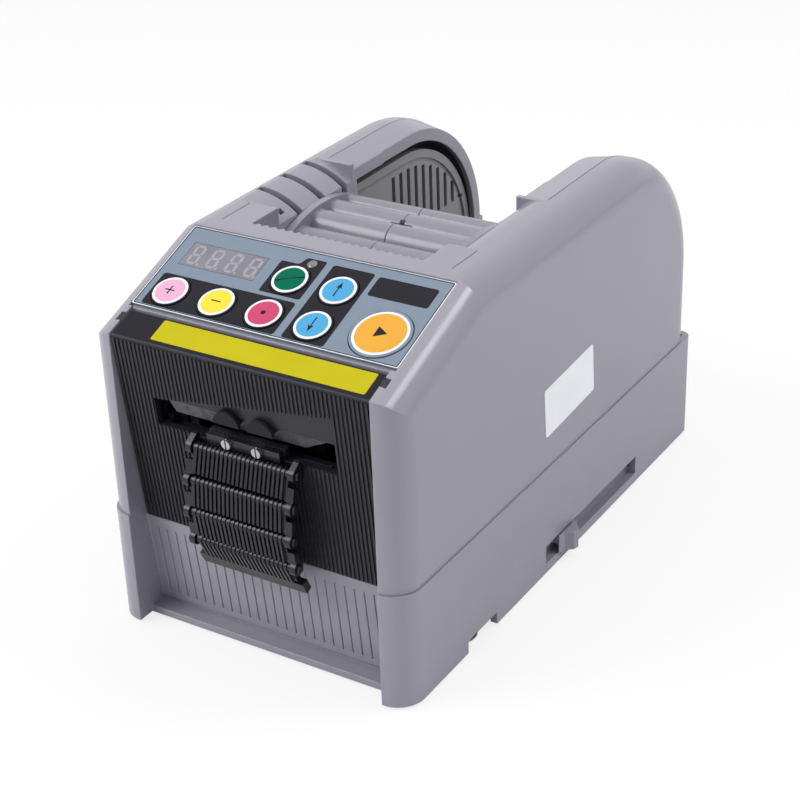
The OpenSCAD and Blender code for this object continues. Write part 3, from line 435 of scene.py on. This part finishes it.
def dome(radius: float, root: float, edge: float, rise: float, rings: int, tip: float) -> Array:
    """Builds the profile of a dome on a short upright wall.

    The wall goes from the root to the edge. From there the height at radius r is
    edge + rise (1 - (r / radius)^2), as far as a small ring at the tip.

    Args:
        radius: Radius of the wall in millimetres.
        root: Height at which the wall starts.
        edge: Height at which the dome starts.
        rise: Height of the dome over its edge.
        rings: Number of points on the dome.
        tip: Share of the radius at which the last of them lies.

    Returns:
        Radius and height of each profile point.
    """
    share = np.linspace(1.0, tip, rings)
    curve = np.stack([radius * share, edge + rise * (1.0 - share ** 2)], -1)
    return np.concatenate([[[radius, root]], curve])


def rounded(corners: Array, radius: float | Array, steps: int = 7) -> Array:
    """Rounds the corners of an outline.

    Each corner P is left by radius on both sides, at A and B, and the curve between
    is (1-s)^2 A + 2 s (1-s) P + s^2 B for s from 0 to 1.

    Args:
        corners: Corner points, one row each.
        radius: Distance from a corner to where its curve starts, one for all or one each.
        steps: Points on each curve.

    Returns:
        The outline's points.
    """
    radius = np.broadcast_to(radius, len(corners))[:, None]
    before = np.roll(corners, 1, 0) - corners
    after = np.roll(corners, -1, 0) - corners
    start = corners + radius * before / np.linalg.norm(before, axis=1, keepdims=True)
    end = corners + radius * after / np.linalg.norm(after, axis=1, keepdims=True)
    s = np.linspace(0.0, 1.0, steps)[None, :, None]
    curve = (1 - s) ** 2 * start[:, None] + 2 * s * (1 - s) * corners[:, None] + s ** 2 * end[:, None]
    return curve.reshape(-1, 2)


def dense(outline: Array, step: float) -> Array:
    """Adds points to an outline, so that none is further than a step from the next.

    Args:
        outline: Points of the closed outline, one row each.
        step: Greatest distance along the outline.

    Returns:
        The outline's own points and the added ones.
    """
    loop = np.concatenate([outline, outline[:1]])
    run = np.concatenate([[0.0], np.cumsum(np.linalg.norm(np.diff(loop, axis=0), axis=1))])
    at = np.union1d(np.round(run, 6), np.arange(0.0, run[-1], step))[:-1]
    return np.stack([np.interp(at, run, loop[:, 0]), np.interp(at, run, loop[:, 1])], -1)


def rectangle(width: float, height: float, radius: float) -> Array:
    """Gives a rectangle about its middle with rounded corners."""
    half = np.array([[-1, -1], [1, -1], [1, 1], [-1, 1]]) * np.array([width / 2, height / 2])
    return rounded(half, radius)


def plates(name: str, place: Plane, outlines: Array, centres: Array, low: float, high: float,
           ease: float = 0.0) -> bpy.types.Object:
    """Makes thin plates of one outline count, each a prism with an eased upper edge.

    Its rings are the outline at the lower face, at the upper face less the ease, and,
    where there is an ease, at the upper face drawn in by it, as the outline times
    1 - ease / half size.

    Args:
        name: Name of the piece.
        place: Plane they lie on.
        outlines: Outlines about their centres, as plates by points by 2, in millimetres.
        centres: Place of each centre on the plane, in millimetres.
        low: Height of the lower face over the plane in millimetres.
        high: Height of the upper face.
        ease: Width of the eased edge.

    Returns:
        The new object.
    """
    steps, heights = [outlines, outlines], [low, high - ease]
    if ease > 0.0:
        half = np.abs(outlines).max(1, keepdims=True)
        steps.append(outlines * (1.0 - ease / half))
        heights.append(high)
    rings = place.at(np.stack(steps, 1) + centres[:, None, None, :], np.array(heights)[:, None])
    poles = place.at(centres[:, None, :], np.array([low, high]))
    return skin(name, rings, poles)


def lathes(name: str, place: Plane, profile: Array, centres: Array, around: int = 72,
           closed: bool = False) -> bpy.types.Object:
    """Turns one profile about the plane's outward direction at each centre.

    A point of profile radius r and height h at angle t lies at centre + r (cos t, sin t),
    h above the plane.

    Args:
        name: Name of the piece.
        place: Plane that the axes stand on.
        profile: Radius and height of each profile point in millimetres.
        centres: Places of the axes on the plane in millimetres.
        around: Points on a turn.
        closed: True where the profile is a closed loop, as of a ring.

    Returns:
        The new object.
    """
    turned = profile[:, 0, None, None] * circle(1.0, around)
    rings = place.at(centres[:, None, None, :] + turned, profile[:, 1, None])
    poles = None if closed else place.at(centres[:, None, :], profile[[0, -1], 1])
    return skin(name, rings, poles)


def joint(name: str) -> dict:
    """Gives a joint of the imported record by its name."""
    return next(entry for entry in frame["joints"] if entry["name"] == name)


def deck_plane() -> Plane:
    """Finds the upper face of the panel film.

    The film is a slab of length L and thickness T that slopes by the angle a, so its
    box measures L cos a + T sin a along Y and L sin a + T cos a along Z. Its upper
    front edge has the box's lowest Y, its upper rear edge the box's highest Z.

    Returns:
        The plane, with its origin in the middle of the front edge.
    """
    press = np.array(joint("key_start_press")["axis"], float)
    out = -press / np.linalg.norm(press)
    along = np.array([0.0, out[2], -out[1]])
    low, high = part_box("panel_overlay")
    size = high - low
    matrix = np.array([[along[1], along[2]], [along[2], along[1]]])
    length, _ = np.linalg.solve(matrix, np.array([size.y, size.z]))
    tray_low, tray_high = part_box("base_tray")
    origin = np.array([(tray_low.x + tray_high.x) / 2, low.y, high.z - length * along[2]])
    return Plane(origin, np.array([1.0, 0.0, 0.0]), along, out)


class Mark(Enum):
    """What is printed on a key."""

    PLUS = "plus"
    MINUS = "minus"
    UP = "up"
    DOWN = "down"
    SPLIT = "split"
    DOT = "dot"
    PLAY = "play"

    def outline(self) -> Array:
        """Builds the mark's outline about its own middle.

        Returns:
            The outline's points in millimetres.
        """
        bar, long = 0.22, 1.65
        stem, head = 0.2, 0.95
        if self is Mark.PLUS:
            return np.array([[-bar, -long], [bar, -long], [bar, -bar], [long, -bar], [long, bar], [bar, bar],
                             [bar, long], [-bar, long], [-bar, bar], [-long, bar], [-long, -bar],
                             [-bar, -bar]])
        if self is Mark.MINUS:
            return np.array([[-long, -bar], [long, -bar], [long, bar], [-long, bar]])
        if self in (Mark.UP, Mark.DOWN):
            arrow = np.array([[-stem, -3.9], [stem, -3.9], [stem, -0.3], [head, -0.7], [0.0, 1.75],
                              [-head, -0.7], [-stem, -0.3]])
            return arrow if self is Mark.UP else -arrow
        if self is Mark.SPLIT:
            return np.array([[-4.2, -1.7], [-4.0, -2.0], [4.2, 1.7], [4.0, 2.0]])
        if self is Mark.DOT:
            return circle(0.8, 32)
        return rounded(np.array([[-1.5, -2.1], [2.3, 0.0], [-1.5, 2.1]]), 0.4)

    def shift(self) -> float:
        """Gives the distance from the key's middle up to the mark's own middle in millimetres."""
        return {Mark.UP: 1.1, Mark.DOWN: -1.1}.get(self, 0.0)


@dataclass(frozen=True)
class Key:
    """One key of the panel.

    Attributes:
        node: Name of its node, which is also its body.
        centre: Place on the deck in millimetres.
        radius: Radius of the key.
        finish: Finish of its face.
        slot: Material slot of its node; not used.
        mark: What is printed on it.
        cell: Corners of the black field round it, or none.
        corners: Radius of each corner of that field.
    """

    node: str
    centre: Pair
    radius: float
    finish: Finish
    slot: str
    mark: Mark
    cell: tuple[Pair, ...] = ()
    corners: tuple[float, ...] = ()


def field_cell(left: float, low: float, right: float, high: float) -> tuple[Pair, ...]:
    """Gives the corners of a rectangular field, from the lower left one round to the left."""
    return (left, low), (right, low), (right, high), (left, high)


# Fields of neighbouring keys meet at square corners, so that they look like one.
KEYS = (
    Key("key_plus", (-37.3, 7.7), 6.2, PINK, "key_pink", Mark.PLUS,
        field_cell(-44.0, 0.95, -28.8, 14.45), (1.3, 0.0, 0.0, 1.3)),
    Key("key_minus", (-20.25, 7.7), 6.2, YELLOW, "key_yellow", Mark.MINUS,
        field_cell(-28.8, 0.95, -11.7, 14.45), (0.0, 0.0, 0.0, 0.0)),
    Key("key_select", (-3.2, 7.7), 6.2, CRIMSON, "key_crimson", Mark.DOT,
        field_cell(-11.7, 0.95, 4.1, 14.45), (0.0, 1.3, 1.3, 0.0)),
    Key("key_mode", (-3.2, 22.6), 6.2, GREEN, "key_green", Mark.SPLIT,
        ((-10.4, 15.9), (4.2, 15.9), (4.2, 32.5), (-2.8, 32.5), (-4.0, 29.4), (-10.4, 29.4)),
        (0.9, 0.9, 0.9, 0.9, 0.9, 0.9)),
    Key("key_up", (13.85, 22.6), 6.2, BLUE, "key_blue", Mark.UP,
        field_cell(6.8, 15.15, 21.3, 32.0), (0.0, 0.0, 1.1, 1.1)),
    Key("key_down", (13.85, 7.7), 6.2, BLUE, "key_blue", Mark.DOWN,
        field_cell(6.8, 0.95, 21.3, 15.15), (1.1, 1.1, 0.0, 0.0)),
    Key("key_start", (35.3, 10.6), 9.4, ORANGE, "key_orange", Mark.PLAY),
)


@dataclass
class ControlPanel:
    """Film with printed groups, painted edge highlight and shadow lines, key faces, digits and lamp, in
    millimetres on the deck.

    Attributes:
        ink: Thickness of a printed layer.
        film_length: Length of the film up the slope.
        bare_size: Width and height of the black field without a key.
        bare_centre: Place of its middle.
        bare_corner: Radius of its corners.
        highlight_line: Distance from the film's edge and width of the pale line along it, a painted highlight.
        shadow_line: The same of the dark line, a painted shadow.
        line_corners: Radius of a line's outer and inner corners.
        key_top: Height of a key's flat top above the film.
        key_gap: Gap round a key in the film.
        cell_step: Greatest distance between points on the edge of a key's field.
        root: Depth by which a face or a mark goes into what carries it.
        lift: Height of a face's edge above its key's top.
        crown: Height of a key face's crown.
        face_rings: Number of points on the crown's profile.
        face_tip: Share of the face's radius at which the last of them lies.
        reach: Share of a key's radius at which its pale ring ends.
        rim: Width of the pale ring on a key.
        rim_ease: Radius of the ring's upper outer edge.
        rim_foot: Depth below the key's top at which that edge starts.
        window_low: Lower left corner of the display window.
        window_size: Width and height of the display window.
        digit_count: Number of digits.
        first_digit: Distance of the first digit from the window's middle, to the left.
        digit_pitch: Distance from digit to digit.
        digit_size: Width and height of a digit between its segments' middles.
        segment: Width of a segment.
        segment_gap: Gap at each end of a segment.
        point: Radius of the point after a digit.
        point_shift: Place of the point from the digit's lower right corner.
        lamp: Place of the lamp.
        lens_radius: Radius of the lamp's lens.
        lens_edge: Height of the lens's edge above the film.
        lens_root: Depth of the lens below the film.
        lens_dome: Height of the lens's dome.
        lens_rings: Number of points on the dome's profile.
        lens_tip: Share of the lens's radius at which the last of them lies.
        place: Upper face of the film.
    """

    ink: float = 0.05
    film_length: float = 35.6
    bare_size: Pair = (20.4, 7.9)
    bare_centre: Pair = (33.2, 27.45)
    bare_corner: float = 1.1
    highlight_line: Pair = (0.05, 0.3)
    shadow_line: Pair = (0.4, 0.28)
    line_corners: Pair = (0.8, 0.6)
    key_top: float = 0.3
    key_gap: float = 0.3
    cell_step: float = 0.4
    root: float = 0.05
    lift: float = 0.1
    crown: float = 0.28
    face_rings: int = 14
    face_tip: float = 0.02
    reach: float = 0.915
    rim: float = 0.85
    rim_ease: float = 0.16
    rim_foot: float = 0.04
    window_low: Pair = (-42.2, 18.9)
    window_size: Pair = (27.7, 10.1)
    digit_count: int = 4
    first_digit: float = 10.1
    digit_pitch: float = 7.0
    digit_size: Pair = (3.0, 7.2)
    segment: float = 0.95
    segment_gap: float = 0.12
    point: float = 0.5
    point_shift: Pair = (0.95, -0.1)
    lamp: Pair = (0.0, 30.4)
    lens_radius: float = 1.55
    lens_edge: float = 0.2
    lens_root: float = 0.5
    lens_dome: float = 0.5
    lens_rings: int = 10
    lens_tip: float = 0.04
    place: Plane = field(default_factory=deck_plane)

    def build(self) -> None:
        """Builds every piece of the panel."""
        self.groups()
        self.border()
        for key in KEYS:
            self.face(key)
            self.mark(key)
        self.digits()
        self.lamp_lens()

    def groups(self) -> None:
        """Prints the black fields, those behind the keys with a hole for the key.

        Each point of such a field's outline is joined to the point of the hole's edge
        that lies in the same direction from the key's middle.
        """
        for key in KEYS:
            if not key.cell:
                continue
            centre = np.array(key.centre)
            outline = dense(rounded(np.array(key.cell), np.array(key.corners)), self.cell_step)
            arm = outline - centre
            arm /= np.linalg.norm(arm, axis=1, keepdims=True)
            hole = centre + (key.radius + self.key_gap) * arm
            self.band("print_" + key.node, outline, hole, BLACK_INK_AND_SHADOW)
        bare = rectangle(*self.bare_size, self.bare_corner)
        piece = plates("print_bare", self.place, bare[None], np.array([self.bare_centre]), -SUNK, self.ink)
        dress(piece, BLACK_INK_AND_SHADOW, "body")

    def band(self, name: str, outer: Array, inner: Array, finish: Finish) -> None:
        """Prints the band between two outlines with the same number of points.

        Args:
            name: Name of the piece.
            outer: Outer outline on the deck in millimetres.
            inner: Inner outline.
            finish: Finish of the ink.
        """
        section = np.stack([outer, outer, inner, inner])
        heights = np.array([-SUNK, self.ink, self.ink, -SUNK])
        dress(skin(name, self.place.at(section, heights[:, None])[None]), finish, "body")

    def border(self) -> None:
        """Draws the thin pale and dark lines along the film's edge: a painted highlight where the recess edge
        catches light and a painted shadow in the gap inside it.
        """
        low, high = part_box("panel_overlay")
        size = np.array([(high.x - low.x) / MM, self.film_length])
        middle = np.array([0.0, self.film_length / 2])
        outer_corner, inner_corner = self.line_corners
        # The pale line is a painted highlight of the recess edge, the dark line a painted shadow in the gap beside
        # the film.
        for name, (inset, width), finish in (("painted_edge_highlight", self.highlight_line, WHITE_INK_AND_HIGHLIGHT),
                                             ("painted_gap_shadow", self.shadow_line, BLACK_INK_AND_SHADOW)):
            outer = rectangle(*(size - 2 * inset), outer_corner)
            inner = rectangle(*(size - 2 * (inset + width)), inner_corner)
            self.band(name, outer + middle, inner + middle, finish)

    def face(self, key: Key) -> None:
        """Builds a key's crowned coloured face and the pale ring round it.

        The face's height over its radius is top + lift + crown (1 - (r / R)^2). The
        ring's section is a flat band whose outer edge is eased over a quarter round.

        Args:
            key: The key.
        """
        centre = np.array([key.centre])
        outer = self.reach * key.radius
        inner = outer - self.rim
        root = self.key_top - self.root
        profile = dome(inner, root, self.key_top + self.lift, self.crown, self.face_rings, self.face_tip)
        dress(lathes(key.node + "_face", self.place, profile, centre), key.finish, key.node)
        turn = np.linspace(0.0, np.pi / 2, 7)
        foot, lap, ease = self.key_top - self.rim_foot, inner - SUNK, self.rim_ease
        edge = np.stack([outer + ease * (np.cos(turn) - 1.0), foot + ease * np.sin(turn)], -1)
        section = np.concatenate([[[lap, root], [outer, root]], edge, [[lap, foot + ease]]])
        ring = lathes(key.node + "_ring", self.place, section, centre, closed=True)
        dress(ring, WHITE_INK_AND_HIGHLIGHT, key.node)

    def mark(self, key: Key) -> None:
        """Prints a key's mark on the crown of its face, rooted below the mark's farthest point.

        Args:
            key: The key.
        """
        outline = key.mark.outline()
        shift = np.array([0.0, key.mark.shift()])
        inner = self.reach * key.radius - self.rim
        edge = self.key_top + self.lift
        far = np.linalg.norm(outline + shift, axis=1).max()
        low = edge + self.crown * (1.0 - (far / inner) ** 2) - self.root
        centre = np.array([key.centre]) + shift
        piece = plates(key.node + "_mark", self.place, outline[None], centre, low, edge + self.crown + SUNK)
        dress(piece, BLACK_INK_AND_SHADOW, key.node)

    def bar(self, length: float) -> Array:
        """Builds the outline of a segment that lies across, a bar with pointed ends.

        Args:
            length: Length from tip to tip in millimetres.

        Returns:
            The outline's points about its middle.
        """
        tip, half = length / 2, self.segment / 2
        neck = tip - half
        return np.array([[-tip, 0.0], [-neck, -half], [neck, -half],
                         [tip, 0.0], [neck, half], [-neck, half]])

    def digits(self) -> None:
        """Builds the unlit segments of the digits with their points.

        A segment is a bar with pointed ends. The seven lie on the edges of two squares
        that share one edge.
        """
        wide, tall = self.digit_size
        flat_bar = self.bar(wide - 2 * self.segment_gap)
        tall_bar = self.bar(tall / 2 - 2 * self.segment_gap)[:, ::-1]
        point = circle(self.point, len(flat_bar))
        shapes = np.stack([flat_bar] * 3 + [tall_bar] * 4 + [point])
        side, end, mid = wide / 2, tall / 2, tall / 4
        spots = np.array([[0, -end], [0, 0], [0, end], [-side, -mid], [side, -mid], [-side, mid], [side, mid],
                          [side + self.point_shift[0], -end + self.point_shift[1]]])
        middle = np.array(self.window_low) + np.array(self.window_size) / 2
        across = np.arange(self.digit_count) * self.digit_pitch - self.first_digit
        digits = middle + np.stack([across, np.zeros(self.digit_count)], -1)
        centres = (digits[:, None, :] + spots[None]).reshape(-1, 2)
        outlines = np.tile(shapes, (self.digit_count, 1, 1))
        piece = plates("display_segments", self.place, outlines, centres, -self.root, SUNK)
        dress(piece, SEGMENT, "body")

    def lamp_lens(self) -> None:
        """Builds the lamp's lens, a shallow dome that stands in the film."""
        profile = dome(self.lens_radius, -self.lens_root, self.lens_edge, self.lens_dome, self.lens_rings,
                       self.lens_tip)
        dress(lathes("status_lamp_lens", self.place, profile, np.array([self.lamp])), LENS, "body")


@dataclass
class LipStrip:
    """Bare film on the front plate's lip, black with a yellow field.

    Attributes:
        drop: Depth of the lip's face below the panel film in millimetres.
        film: Left, lower, right and upper edge of the black film on the deck.
        film_high: Height of the black film above the lip.
        strip: Edges of the yellow field.
        strip_high: Height of the yellow field above the lip.
        corner: Radius of the corners.
        place: Upper face of the panel film.
    """

    drop: float = 0.1
    film: tuple[float, float, float, float] = (-44.9, -12.8, 44.9, -2.9)
    film_high: float = 0.06
    strip: tuple[float, float, float, float] = (-31.7, -11.6, 42.7, -3.4)
    strip_high: float = 0.12
    corner: float = 0.7
    place: Plane = field(default_factory=deck_plane)

    def build(self) -> None:
        """Builds the black film and the yellow field on it."""
        layers = (("lip_film", self.film, self.film_high, BLACK_INK_AND_SHADOW, "overlay"),
                  ("lip_strip", self.strip, self.strip_high, STRIP, "key_yellow"))
        for name, (left, low, right, top), high, finish, slot in layers:
            outline = rectangle(right - left, top - low, self.corner)
            centre = np.array([[(left + right) / 2, (low + top) / 2]])
            piece = plates(name, self.place, outline[None], centre, -self.drop - SUNK, high - self.drop, EASE)
            dress(piece, finish, "body")


@dataclass
class SideLabel:
    """Bare paper label on the right side of the casing.

    Attributes:
        centre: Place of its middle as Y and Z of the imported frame, in millimetres.
        size: Width and height.
        corner: Radius of its corners.
        tilt: Angle by which it was stuck on askew, in degrees.
        thick: Thickness of the paper.
    """

    centre: Pair = (5.7, 60.7)
    size: Pair = (33.7, 17.3)
    corner: float = 1.2
    tilt: float = 3.9
    thick: float = 0.12

    def build(self) -> None:
        """Builds the label on the casing's right face."""
        _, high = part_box("upper_casing")
        turn = math.radians(self.tilt)
        across = np.array([0.0, math.cos(turn), math.sin(turn)])
        along = np.array([0.0, -math.sin(turn), math.cos(turn)])
        origin = np.array([high.x, self.centre[0] * MM, self.centre[1] * MM])
        place = Plane(origin, across, along, np.array([1.0, 0.0, 0.0]))
        outline = rectangle(*self.size, self.corner)
        piece = plates("side_label", place, outline[None], np.zeros((1, 2)), -SUNK, self.thick, EASE)
        dress(piece, PAPER, "body")


@dataclass
class Feet:
    """Bright rims round the lower edge of the rubber feet.

    Attributes:
        radius: Radius of a foot in millimetres.
        low: Height of the rim's lower face above the floor.
        high: Height of its upper face.
        proud: How far the rim stands out of the foot.
        bite: How far it goes into the foot.
        chamfer: Width of its lower outer edge.
    """

    radius: float = 6.0
    low: float = 0.15
    high: float = 0.7
    proud: float = 0.25
    bite: float = 0.3
    chamfer: float = 0.15

    def build(self) -> None:
        """Builds the four rims as one piece, each a ring whose section is a chamfered rectangle."""
        low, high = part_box("rubber_feet")
        mid = np.array([(low.x + high.x) / 2, (low.y + high.y) / 2, 0.0])
        reach = np.array([(high.x - low.x) / 2, (high.y - low.y) / 2]) / MM - self.radius
        centres = np.array([[-1, -1], [1, -1], [1, 1], [-1, 1]]) * reach
        inner, outer = self.radius - self.bite, self.radius + self.proud
        section = np.array([[inner, self.low], [outer - self.chamfer, self.low],
                            [outer, self.low + self.chamfer], [outer, self.high], [inner, self.high]])
        rims = lathes("foot_rims", Plane(mid, *np.eye(3)), section, centres, closed=True)
        dress(rims, STEEL, "body")


@dataclass
class Chute:
    """Ends of the hinge pins on both sides of the chute.

    Attributes:
        half_width: Distance from the middle to a pin's head in millimetres.
        radius: Radius of a pin's head.
        length: Length of a pin's head.
        ease: Width of its eased edge.
        around: Points on a turn of it.
        links: Number of links, each with a pin.
    """

    half_width: float = 19.4
    radius: float = 1.45
    length: float = 0.7
    ease: float = 0.3
    around: int = 32
    links: int = 4

    def build(self) -> None:
        """Builds the pin heads, each a short turned button with an eased end."""
        profile = np.array([[self.radius, 0.0], [self.radius, self.length - self.ease],
                            [self.radius - self.ease, self.length]])
        _, along, up = np.eye(3)
        for index in range(1, self.links + 1):
            pos = np.array(joint(f"chute_hinge_{index}")["pos_m"], float)
            for side, sign in (("left", -1.0), ("right", 1.0)):
                out = np.array([sign, 0.0, 0.0])
                place = Plane(pos + out * self.half_width * MM, along, up, out)
                piece = lathes(f"chute_pin_{index}_{side}", place, profile, np.zeros((1, 2)), self.around)
                dress(piece, CHUTE, f"chute_{index}")


@dataclass(frozen=True)
class SoftLamp:
    """A square soft lamp that points at the machine.

    Attributes:
        name: Name of the lamp.
        place: Its place in metres.
        size: Its edge length in metres.
        power: Its power in watts.
    """

    name: str
    place: Triple
    size: float
    power: float

    def hang(self, aim: Triple) -> None:
        """Hangs the lamp at its place.

        Args:
            aim: Point that it is turned to, in metres.
        """
        light = bpy.data.lights.new(self.name, "AREA")
        light.energy = self.power
        light.size = self.size
        lamp = bpy.data.objects.new(self.name, light)
        bpy.context.scene.collection.objects.link(lamp)
        turn = (Vector(aim) - Vector(self.place)).to_track_quat("-Z", "Y").to_matrix().to_4x4()
        lamp.matrix_world = Matrix.Translation(self.place) @ turn


@dataclass
class Studio:
    """Pale floor, soft light and the camera at the photograph's angle.

    Attributes:
        azimuth: Turn of the camera about the machine in degrees.
        elevation: Height of the camera over the horizon in degrees.
        roll: Turn of the picture in degrees.
        distance: Distance from the aim in millimetres.
        aim: Point that the camera looks at, in millimetres.
        focal: Focal length in pixels of the picture.
        sensor: Width of the camera's sensor in millimetres.
        picture: Width of the picture in pixels.
        near: Distance in metres from which the camera sees.
        floor_half: Half the floor's edge length in metres.
        floor_tones: Darkest and lightest colour of the floor.
        floor_patch: Size of the floor's colour variation in millimetres.
        floor_rough: Roughness of the floor.
        floor_gloss: Level of its mirror part.
        floor_glow: Share of plain white that the camera sees in the floor.
        sky: Colour of the light from all round.
        sky_strength: Strength of that light.
        lamp_aim: Point that the lamps point at, in metres.
        lamps: The lamps.
    """

    azimuth: float = 32.641
    elevation: float = 27.833
    roll: float = -2.147
    distance: float = 634.273
    aim: Triple = (-10.175, 2.448, 43.169)
    focal: float = 1869.075
    sensor: float = 36.0
    picture: float = 800.0
    near: float = 0.01
    floor_half: float = 3.0
    floor_tones: tuple[Triple, Triple] = ((0.94, 0.94, 0.945), (0.97, 0.97, 0.97))
    floor_patch: float = 300.0
    floor_rough: float = 0.9
    floor_gloss: float = 0.1
    floor_glow: float = 0.78
    sky: Triple = (0.96, 0.97, 1.0)
    sky_strength: float = 0.4
    lamp_aim: Triple = (0.0, 0.0, 0.05)
    lamps: tuple[SoftLamp, ...] = (
        SoftLamp("key_lamp", (-0.75, -0.75, 0.9), 0.8, 11.0),
        SoftLamp("side_lamp", (1.0, 0.1, 0.55), 0.9, 1.5),
        SoftLamp("top_lamp", (0.05, 0.15, 1.2), 1.1, 4.6),
        SoftLamp("rim_lamp", (0.62, 0.34, 1.02), 0.34, 3.0),
    )

    def build(self) -> None:
        """Builds floor, light and camera."""
        self.floor()
        self.world()
        for lamp in self.lamps:
            lamp.hang(self.lamp_aim)
        self.camera()

    def floor(self) -> None:
        """Lays the floor as one large flat piece with a pale, slightly uneven finish."""
        half = self.floor_half
        mesh = bpy.data.meshes.new("floor")
        mesh.from_pydata([(-half, -half, 0.0), (half, -half, 0.0), (half, half, 0.0), (-half, half, 0.0)], [],
                         [(0, 1, 2, 3)])
        floor = bpy.data.objects.new("floor", mesh)
        bpy.context.scene.collection.objects.link(floor)
        graph = Graph("floor_paper")
        graph.set("Roughness", self.floor_rough)
        graph.set("Specular IOR Level", self.floor_gloss)
        patches = graph.noise(self.floor_patch)
        graph.wire(graph.mix(patches, *self.floor_tones), graph.shader.inputs["Base Color"])
        glow = graph.add("ShaderNodeEmission")
        path = graph.add("ShaderNodeLightPath")
        part = graph.spread(path.outputs["Is Camera Ray"], 0.0, self.floor_glow, 0.0, 1.0)
        blend = graph.add("ShaderNodeMixShader")
        graph.wire(part, blend.inputs["Fac"])
        graph.wire(graph.shader.outputs["BSDF"], blend.inputs[1])
        graph.wire(glow.outputs["Emission"], blend.inputs[2])
        graph.wire(blend.outputs["Shader"], graph.tree.nodes["Material Output"].inputs["Surface"])
        mesh.materials.append(graph.material)

    def world(self) -> None:
        """Lights the scene evenly, and shows white to the camera, to mirrors and through glass."""
        world = bpy.data.worlds.new("studio")
        bpy.context.scene.world = world
        world.use_nodes = True
        nodes, links = world.node_tree.nodes, world.node_tree.links
        nodes.clear()
        mix = nodes.new("ShaderNodeMixShader")
        for socket, colour, strength in ((1, self.sky, self.sky_strength), (2, (1.0, 1.0, 1.0), 1.0)):
            light = nodes.new("ShaderNodeBackground")
            light.inputs["Color"].default_value = (*colour, 1.0)
            light.inputs["Strength"].default_value = strength
            links.new(light.outputs["Background"], mix.inputs[socket])
        path = nodes.new("ShaderNodeLightPath")
        seen = path.outputs["Is Camera Ray"]
        for ray in ("Is Glossy Ray", "Is Transmission Ray"):
            either = nodes.new("ShaderNodeMath")
            either.operation = "MAXIMUM"
            links.new(seen, either.inputs[0])
            links.new(path.outputs[ray], either.inputs[1])
            seen = either.outputs["Value"]
        links.new(seen, mix.inputs["Fac"])
        out = nodes.new("ShaderNodeOutputWorld")
        links.new(mix.outputs["Shader"], out.inputs["Surface"])

    def camera(self) -> None:
        """Places the camera by azimuth, elevation, roll and distance from its aim."""
        turn, lift, roll = (math.radians(value) for value in (self.azimuth, self.elevation, self.roll))
        back = Vector((math.sin(turn) * math.cos(lift), -math.cos(turn) * math.cos(lift), math.sin(lift)))
        level = Vector((math.cos(turn), math.sin(turn), 0.0))
        rise = back.cross(level)
        right = level * math.cos(roll) + rise * math.sin(roll)
        upward = rise * math.cos(roll) - level * math.sin(roll)
        data = bpy.data.cameras.new("camera")
        data.sensor_width = self.sensor
        data.lens = self.focal / self.picture * self.sensor
        data.clip_start = self.near
        camera = bpy.data.objects.new("camera", data)
        bpy.context.scene.collection.objects.link(camera)
        matrix = Matrix((right, upward, back)).transposed().to_4x4()
        matrix.translation = (Vector(self.aim) + back * self.distance) * MM
        camera.matrix_world = matrix
        bpy.context.scene.camera = camera
        bpy.context.scene.view_settings.view_transform = "Standard"


def dress_nodes() -> None:
    """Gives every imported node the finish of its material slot."""
    slots = {entry["node"]: entry["material_slot"] for entry in frame["record"]["subparts"]}
    for name, node in frame["nodes"].items():
        material = SLOT_FINISH[slots[name]].material()
        if not node.data.materials:
            node.data.materials.append(material)
        for index in range(len(node.data.materials)):
            node.data.materials[index] = material
        log.info("node %s has finish %s", name, material.name)


def main() -> None:
    """Builds the looks of the machine, piece by piece."""
    logging.basicConfig(level=logging.INFO, format="%(name)s: %(message)s")
    Studio().build()
    dress_nodes()
    for assembly in (ControlPanel(), LipStrip(), SideLabel(), Feet(), Chute()):
        assembly.build()


if __name__ == "__main__":
    main()
